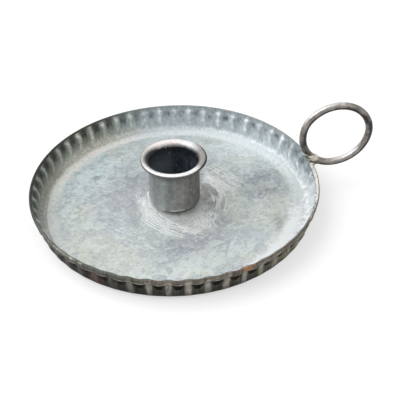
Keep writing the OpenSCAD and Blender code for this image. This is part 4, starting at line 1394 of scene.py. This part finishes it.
@dataclass
class FingerRing:
    """The wire ring, and its braze to the hem. Sizes in millimetres, angles in degrees."""

    finger_d: float = 31.0
    wire_d: float = 3.65
    lean: float = 4.3
    turn: float = -2.8
    rise: float = 56.8
    braze_gap: float = 0.15
    flat_side: float = 205.0
    flat: float = 0.7
    braze_voxel: float = 0.18
    pan: Pan = field(default_factory=Pan)

    def __post_init__(self) -> None:
        """Works out the ring's radius, and its centre from the hem's fold."""
        self.wire_r = self.wire_d / 2
        self.ring_r = self.finger_d / 2 + self.wire_r
        rise = math.radians(self.rise)
        reach = self.pan.fold_r + self.braze_gap + self.wire_r + self.ring_r
        self.centre = Vector((math.cos(rise), 0, math.sin(rise))) * reach

    def at_fold(self) -> Matrix:
        """Gives the place of the hem's fold, with the ring's own turn and lean."""
        fold = Matrix.Translation(Vector((self.pan.fold_x, 0, self.pan.fold_z)) * MM)
        turn = Matrix.Rotation(math.radians(self.turn), 4, "Z")
        return fold @ turn @ Matrix.Rotation(math.radians(self.lean), 4, "X")

    def ring_tree(self, material: bpy.types.Material) -> bpy.types.NodeTree:
        """Writes the tree that bends the wire into a ring, in the plane of X and Y.

        Args:
            material: The wire's material.

        Returns:
            The tree.
        """
        names = {n: "NodeSocketFloat" for n in ("Ring Radius", "Wire Radius", "Flat", "Flat Side", "Unevenness", "Seed")}
        tree, given = new_shape_tree("bend ring", names)
        size = given.outputs
        line = add(tree, "GeometryNodeCurvePrimitiveCircle", {"Resolution": 180, "Radius": size["Ring Radius"]}, "Curve")
        where = add(tree, "GeometryNodeInputPosition")
        radial = add(tree, "ShaderNodeVectorMath", {0: where}, operation="NORMALIZE")
        sides = [add(tree, "ShaderNodeMath", {0: size["Flat Side"]}, operation=o) for o in ("COSINE", "SINE")]
        way = add(tree, "ShaderNodeCombineXYZ", {0: sides[0], 1: sides[1]})
        near = add(tree, "ShaderNodeVectorMath", {0: radial, 1: way}, "Value", operation="DOT_PRODUCT")
        links = {0: near, 1: 0.55, 2: 1.0, 3: 0.0, 4: 1.0}
        near = add(tree, "ShaderNodeMapRange", links, interpolation_type="SMOOTHSTEP")
        near = add(tree, "ShaderNodeMath", {0: near, 1: size["Flat"]}, operation="MULTIPLY")
        near = add(tree, "ShaderNodeMath", {0: near, 1: -1.0}, operation="MULTIPLY")
        inwards = add(tree, "ShaderNodeVectorMath", {0: radial, 3: near}, operation="SCALE")
        links = {"Vector": where, "W": size["Seed"], "Scale": 45.0, "Detail": 2.0}
        wobble = add(tree, "ShaderNodeTexNoise", links, "Color", noise_dimensions="4D")
        wobble = add(tree, "ShaderNodeVectorMath", {0: wobble, 1: (0.5, 0.5, 0.5)}, operation="SUBTRACT")
        wobble = add(tree, "ShaderNodeVectorMath", {0: wobble, 3: size["Unevenness"]}, operation="SCALE")
        move = add(tree, "ShaderNodeVectorMath", {0: wobble, 1: inwards}, operation="ADD")
        line = add(tree, "GeometryNodeSetPosition", {"Geometry": line, "Offset": move})
        links = {"Resolution": 32, "Radius": size["Wire Radius"]}
        shape = add(tree, "GeometryNodeCurvePrimitiveCircle", links, "Curve")
        wire = add(tree, "GeometryNodeCurveToMesh", {"Curve": line, "Profile Curve": shape})
        end_shape_tree(tree, wire, material)
        return tree

    def build(self) -> None:
        """Builds and dresses the ring."""
        piece = place("wire_ring", bpy.data.meshes.new("wire_ring"))
        # Its third colour is grime with painted shade and its fourth is wear with a painted highlight.
        finish = MottledMetal(
            "steel wire, bent, worn smooth", "#817A74", "#AAA29C", "#1E1A17", "#E9E5E2", 4.0, 0.45, 0.32, 0.05
        )
        values = {
            "Ring Radius": self.ring_r * MM,
            "Wire Radius": self.wire_r * MM,
            "Flat": self.flat * MM,
            "Flat Side": math.radians(self.flat_side),
            "Unevenness": 0.4 * MM,
            "Seed": 3.0,
        }
        run_shape_tree(piece, self.ring_tree(finish.build()), values)
        centre = Matrix.Translation(self.centre * MM)
        piece.data.transform(self.at_fold() @ centre @ Matrix.Rotation(math.radians(90), 4, "X"))
        finish_piece(piece, Part.RING)
        self.build_braze()

    def on_ring(self, side: float) -> Vector:
        """A point on the wire's centre line, in the fold's own frame."""
        angle = math.radians(side)
        return self.centre + Vector((math.cos(angle), 0, math.sin(angle))) * self.ring_r

    def build_braze(self) -> None:
        """Builds and dresses the braze, which ran along the wire and over the hem before it froze."""
        ends, middle, most, least = (215.0, 251.0), 234.0, 2.55, 1.85
        drops = []
        for side in np.linspace(*ends, 15):
            share = smooth_step(0.0, 1.0, 1.0 - abs(side - middle) / (ends[1] - middle))
            drops.append((self.on_ring(side), least + (most - least) * share))
        drops += [(Vector((0.3, 1.6, 0.2)), 1.2), (Vector((0.3, -1.6, 0.2)), 1.3), (Vector((0.6, 0.0, 0.9)), 1.4)]
        drops += [(Vector((1.1, -0.8, -0.5)), 0.9)]
        shape = bmesh.new()
        for spot, radius in drops:
            bmesh.ops.create_icosphere(shape, subdivisions=3, radius=radius * MM, matrix=Matrix.Translation(spot * MM))
        mesh = bpy.data.meshes.new("braze_bead")
        shape.to_mesh(mesh)
        shape.free()
        piece = place("braze_bead", mesh)
        joined = piece.modifiers.new("join drops", "REMESH")
        joined.mode = "VOXEL"
        joined.voxel_size = self.braze_voxel * MM
        eased = piece.modifiers.new("ease", "SMOOTH")
        eased.iterations = 14
        graph = bpy.context.evaluated_depsgraph_get()
        mesh = bpy.data.meshes.new_from_object(piece.evaluated_get(graph))
        piece.modifiers.clear()
        piece.data = mesh
        mesh.name = piece.name
        for vertex in mesh.vertices:
            place_mm = vertex.co / MM
            lump = 0.28 * noise.noise(place_mm * 0.4) + 0.04 * noise.noise(place_mm * 2.0)
            vertex.co += vertex.normal * lump * MM
        mesh.transform(self.at_fold())
        mesh.shade_smooth()
        # Its third colour is grime with painted shade and its fourth is wear with a painted highlight.
        finish = MottledMetal(
            "brass braze, as it froze", "#C6BFB0", "#F4F0E6", "#5E5547", "#FFFEF8", 1.6, 0.2, 0.42, 0.08
        )
        mesh.materials.append(finish.build())
        finish_piece(piece, Part.BRAZE)


@dataclass
class Studio:
    """The floor, the lamps and the camera. Lengths in millimetres, angles in degrees."""

    distance: float = 381.3
    azimuth: float = -8.5
    elevation: float = 38.54
    roll: float = -2.60
    focal_px: float = 744.64
    origin_px: tuple[float, float] = (175.51, 201.90)
    sensor: float = 36.0

    def build(self) -> None:
        """Builds the studio."""
        self.build_floor()
        self.build_lamps()
        self.build_camera()
        bpy.context.scene.view_settings.view_transform = "Standard"

    def build_floor(self) -> None:
        """Lays a plain pale floor."""
        half = 3.0
        mesh = bpy.data.meshes.new("studio_floor")
        mesh.from_pydata([(-half, -half, -0.0001), (half, -half, -0.0001), (half, half, -0.0001), (-half, half, -0.0001)], [], [(0, 1, 2, 3)])
        material = bpy.data.materials.new("matt white paper")
        material.use_nodes = True
        shader = material.node_tree.nodes["Principled BSDF"]
        shader.inputs["Base Color"].default_value = (0.5, 0.5, 0.5, 1)
        shader.inputs["Roughness"].default_value = 1.0
        shader.inputs["Emission Color"].default_value = (1, 1, 1, 1)
        path = add(material.node_tree, "ShaderNodeLightPath", out="Is Camera Ray")
        rays = path
        for other in ("Is Glossy Ray", "Is Transmission Ray"):
            rays = add(material.node_tree, "ShaderNodeMath", {0: rays, 1: path.node.outputs[other]}, operation="MAXIMUM")
        glow = add(material.node_tree, "ShaderNodeMath", {0: rays, 1: 0.55}, operation="MULTIPLY")
        material.node_tree.links.new(glow, shader.inputs["Emission Strength"])
        mesh.materials.append(material)
        place("studio_floor", mesh)

    def build_lamps(self) -> None:
        """Hangs a large soft lamp and lights the room plainly."""
        world = bpy.data.worlds.new("studio room")
        world.use_nodes = True
        world.node_tree.nodes["Background"].inputs["Color"].default_value = (1, 1, 1, 1)
        path = add(world.node_tree, "ShaderNodeLightPath", out="Is Camera Ray")
        glow = add(world.node_tree, "ShaderNodeMapRange", {0: path, 1: 0.0, 2: 1.0, 3: 0.55, 4: 1.0})
        world.node_tree.links.new(glow, world.node_tree.nodes["Background"].inputs["Strength"])
        bpy.context.scene.world = world
        for name, spot, size, power in (
            ("key", (-0.75, 0.2, 0.90), 1.4, 11.5),
            ("fill", (0.55, -0.55, 0.8), 0.8, 2.0),
        ):
            lamp = bpy.data.lights.new(name, "AREA")
            lamp.shape = "DISK"
            lamp.size = size
            lamp.energy = power
            holder = bpy.data.objects.new(name, lamp)
            holder.location = spot
            holder.rotation_euler = Vector(spot).to_track_quat("Z", "Y").to_euler()
            bpy.context.scene.collection.objects.link(holder)

    def build_camera(self) -> None:
        """Stands the camera where the origin falls on its pixel of the picture."""
        turn = Matrix.Rotation(math.radians(self.azimuth), 3, "Z")
        rise = math.radians(self.elevation)
        spot = turn @ Vector((0, -math.cos(rise), math.sin(rise))) * self.distance * MM
        ahead = -spot.normalized()
        right = turn @ Vector((1, 0, 0))
        roll = Quaternion(ahead, math.radians(-self.roll))
        right = roll @ right
        up = right.cross(ahead)
        across = math.atan((self.origin_px[0] - PICTURE_PX / 2) / self.focal_px)
        down = math.atan((self.origin_px[1] - PICTURE_PX / 2) / math.hypot(self.focal_px, self.origin_px[0] - PICTURE_PX / 2))
        pan = Quaternion(up, across)
        right, ahead = pan @ right, pan @ ahead
        tilt = Quaternion(right, down)
        up, ahead = tilt @ up, tilt @ ahead
        camera = bpy.data.cameras.new("camera")
        camera.sensor_width = self.sensor
        camera.lens = self.sensor * self.focal_px / PICTURE_PX
        camera.clip_start = 0.01
        holder = bpy.data.objects.new("camera", camera)
        holder.matrix_world = Matrix.Translation(spot) @ Matrix((right, up, -ahead)).transposed().to_4x4()
        bpy.context.scene.collection.objects.link(holder)
        bpy.context.scene.camera = holder


def main() -> None:
    """Builds the studio and every piece."""
    logging.basicConfig(level=logging.INFO, format="%(name)s: %(message)s")
    Studio().build()
    pan = Pan()
    pan.build()
    CandleCup().build()
    SolderSeam().build()
    FingerRing(pan=pan).build()


if __name__ == "__main__":
    main()
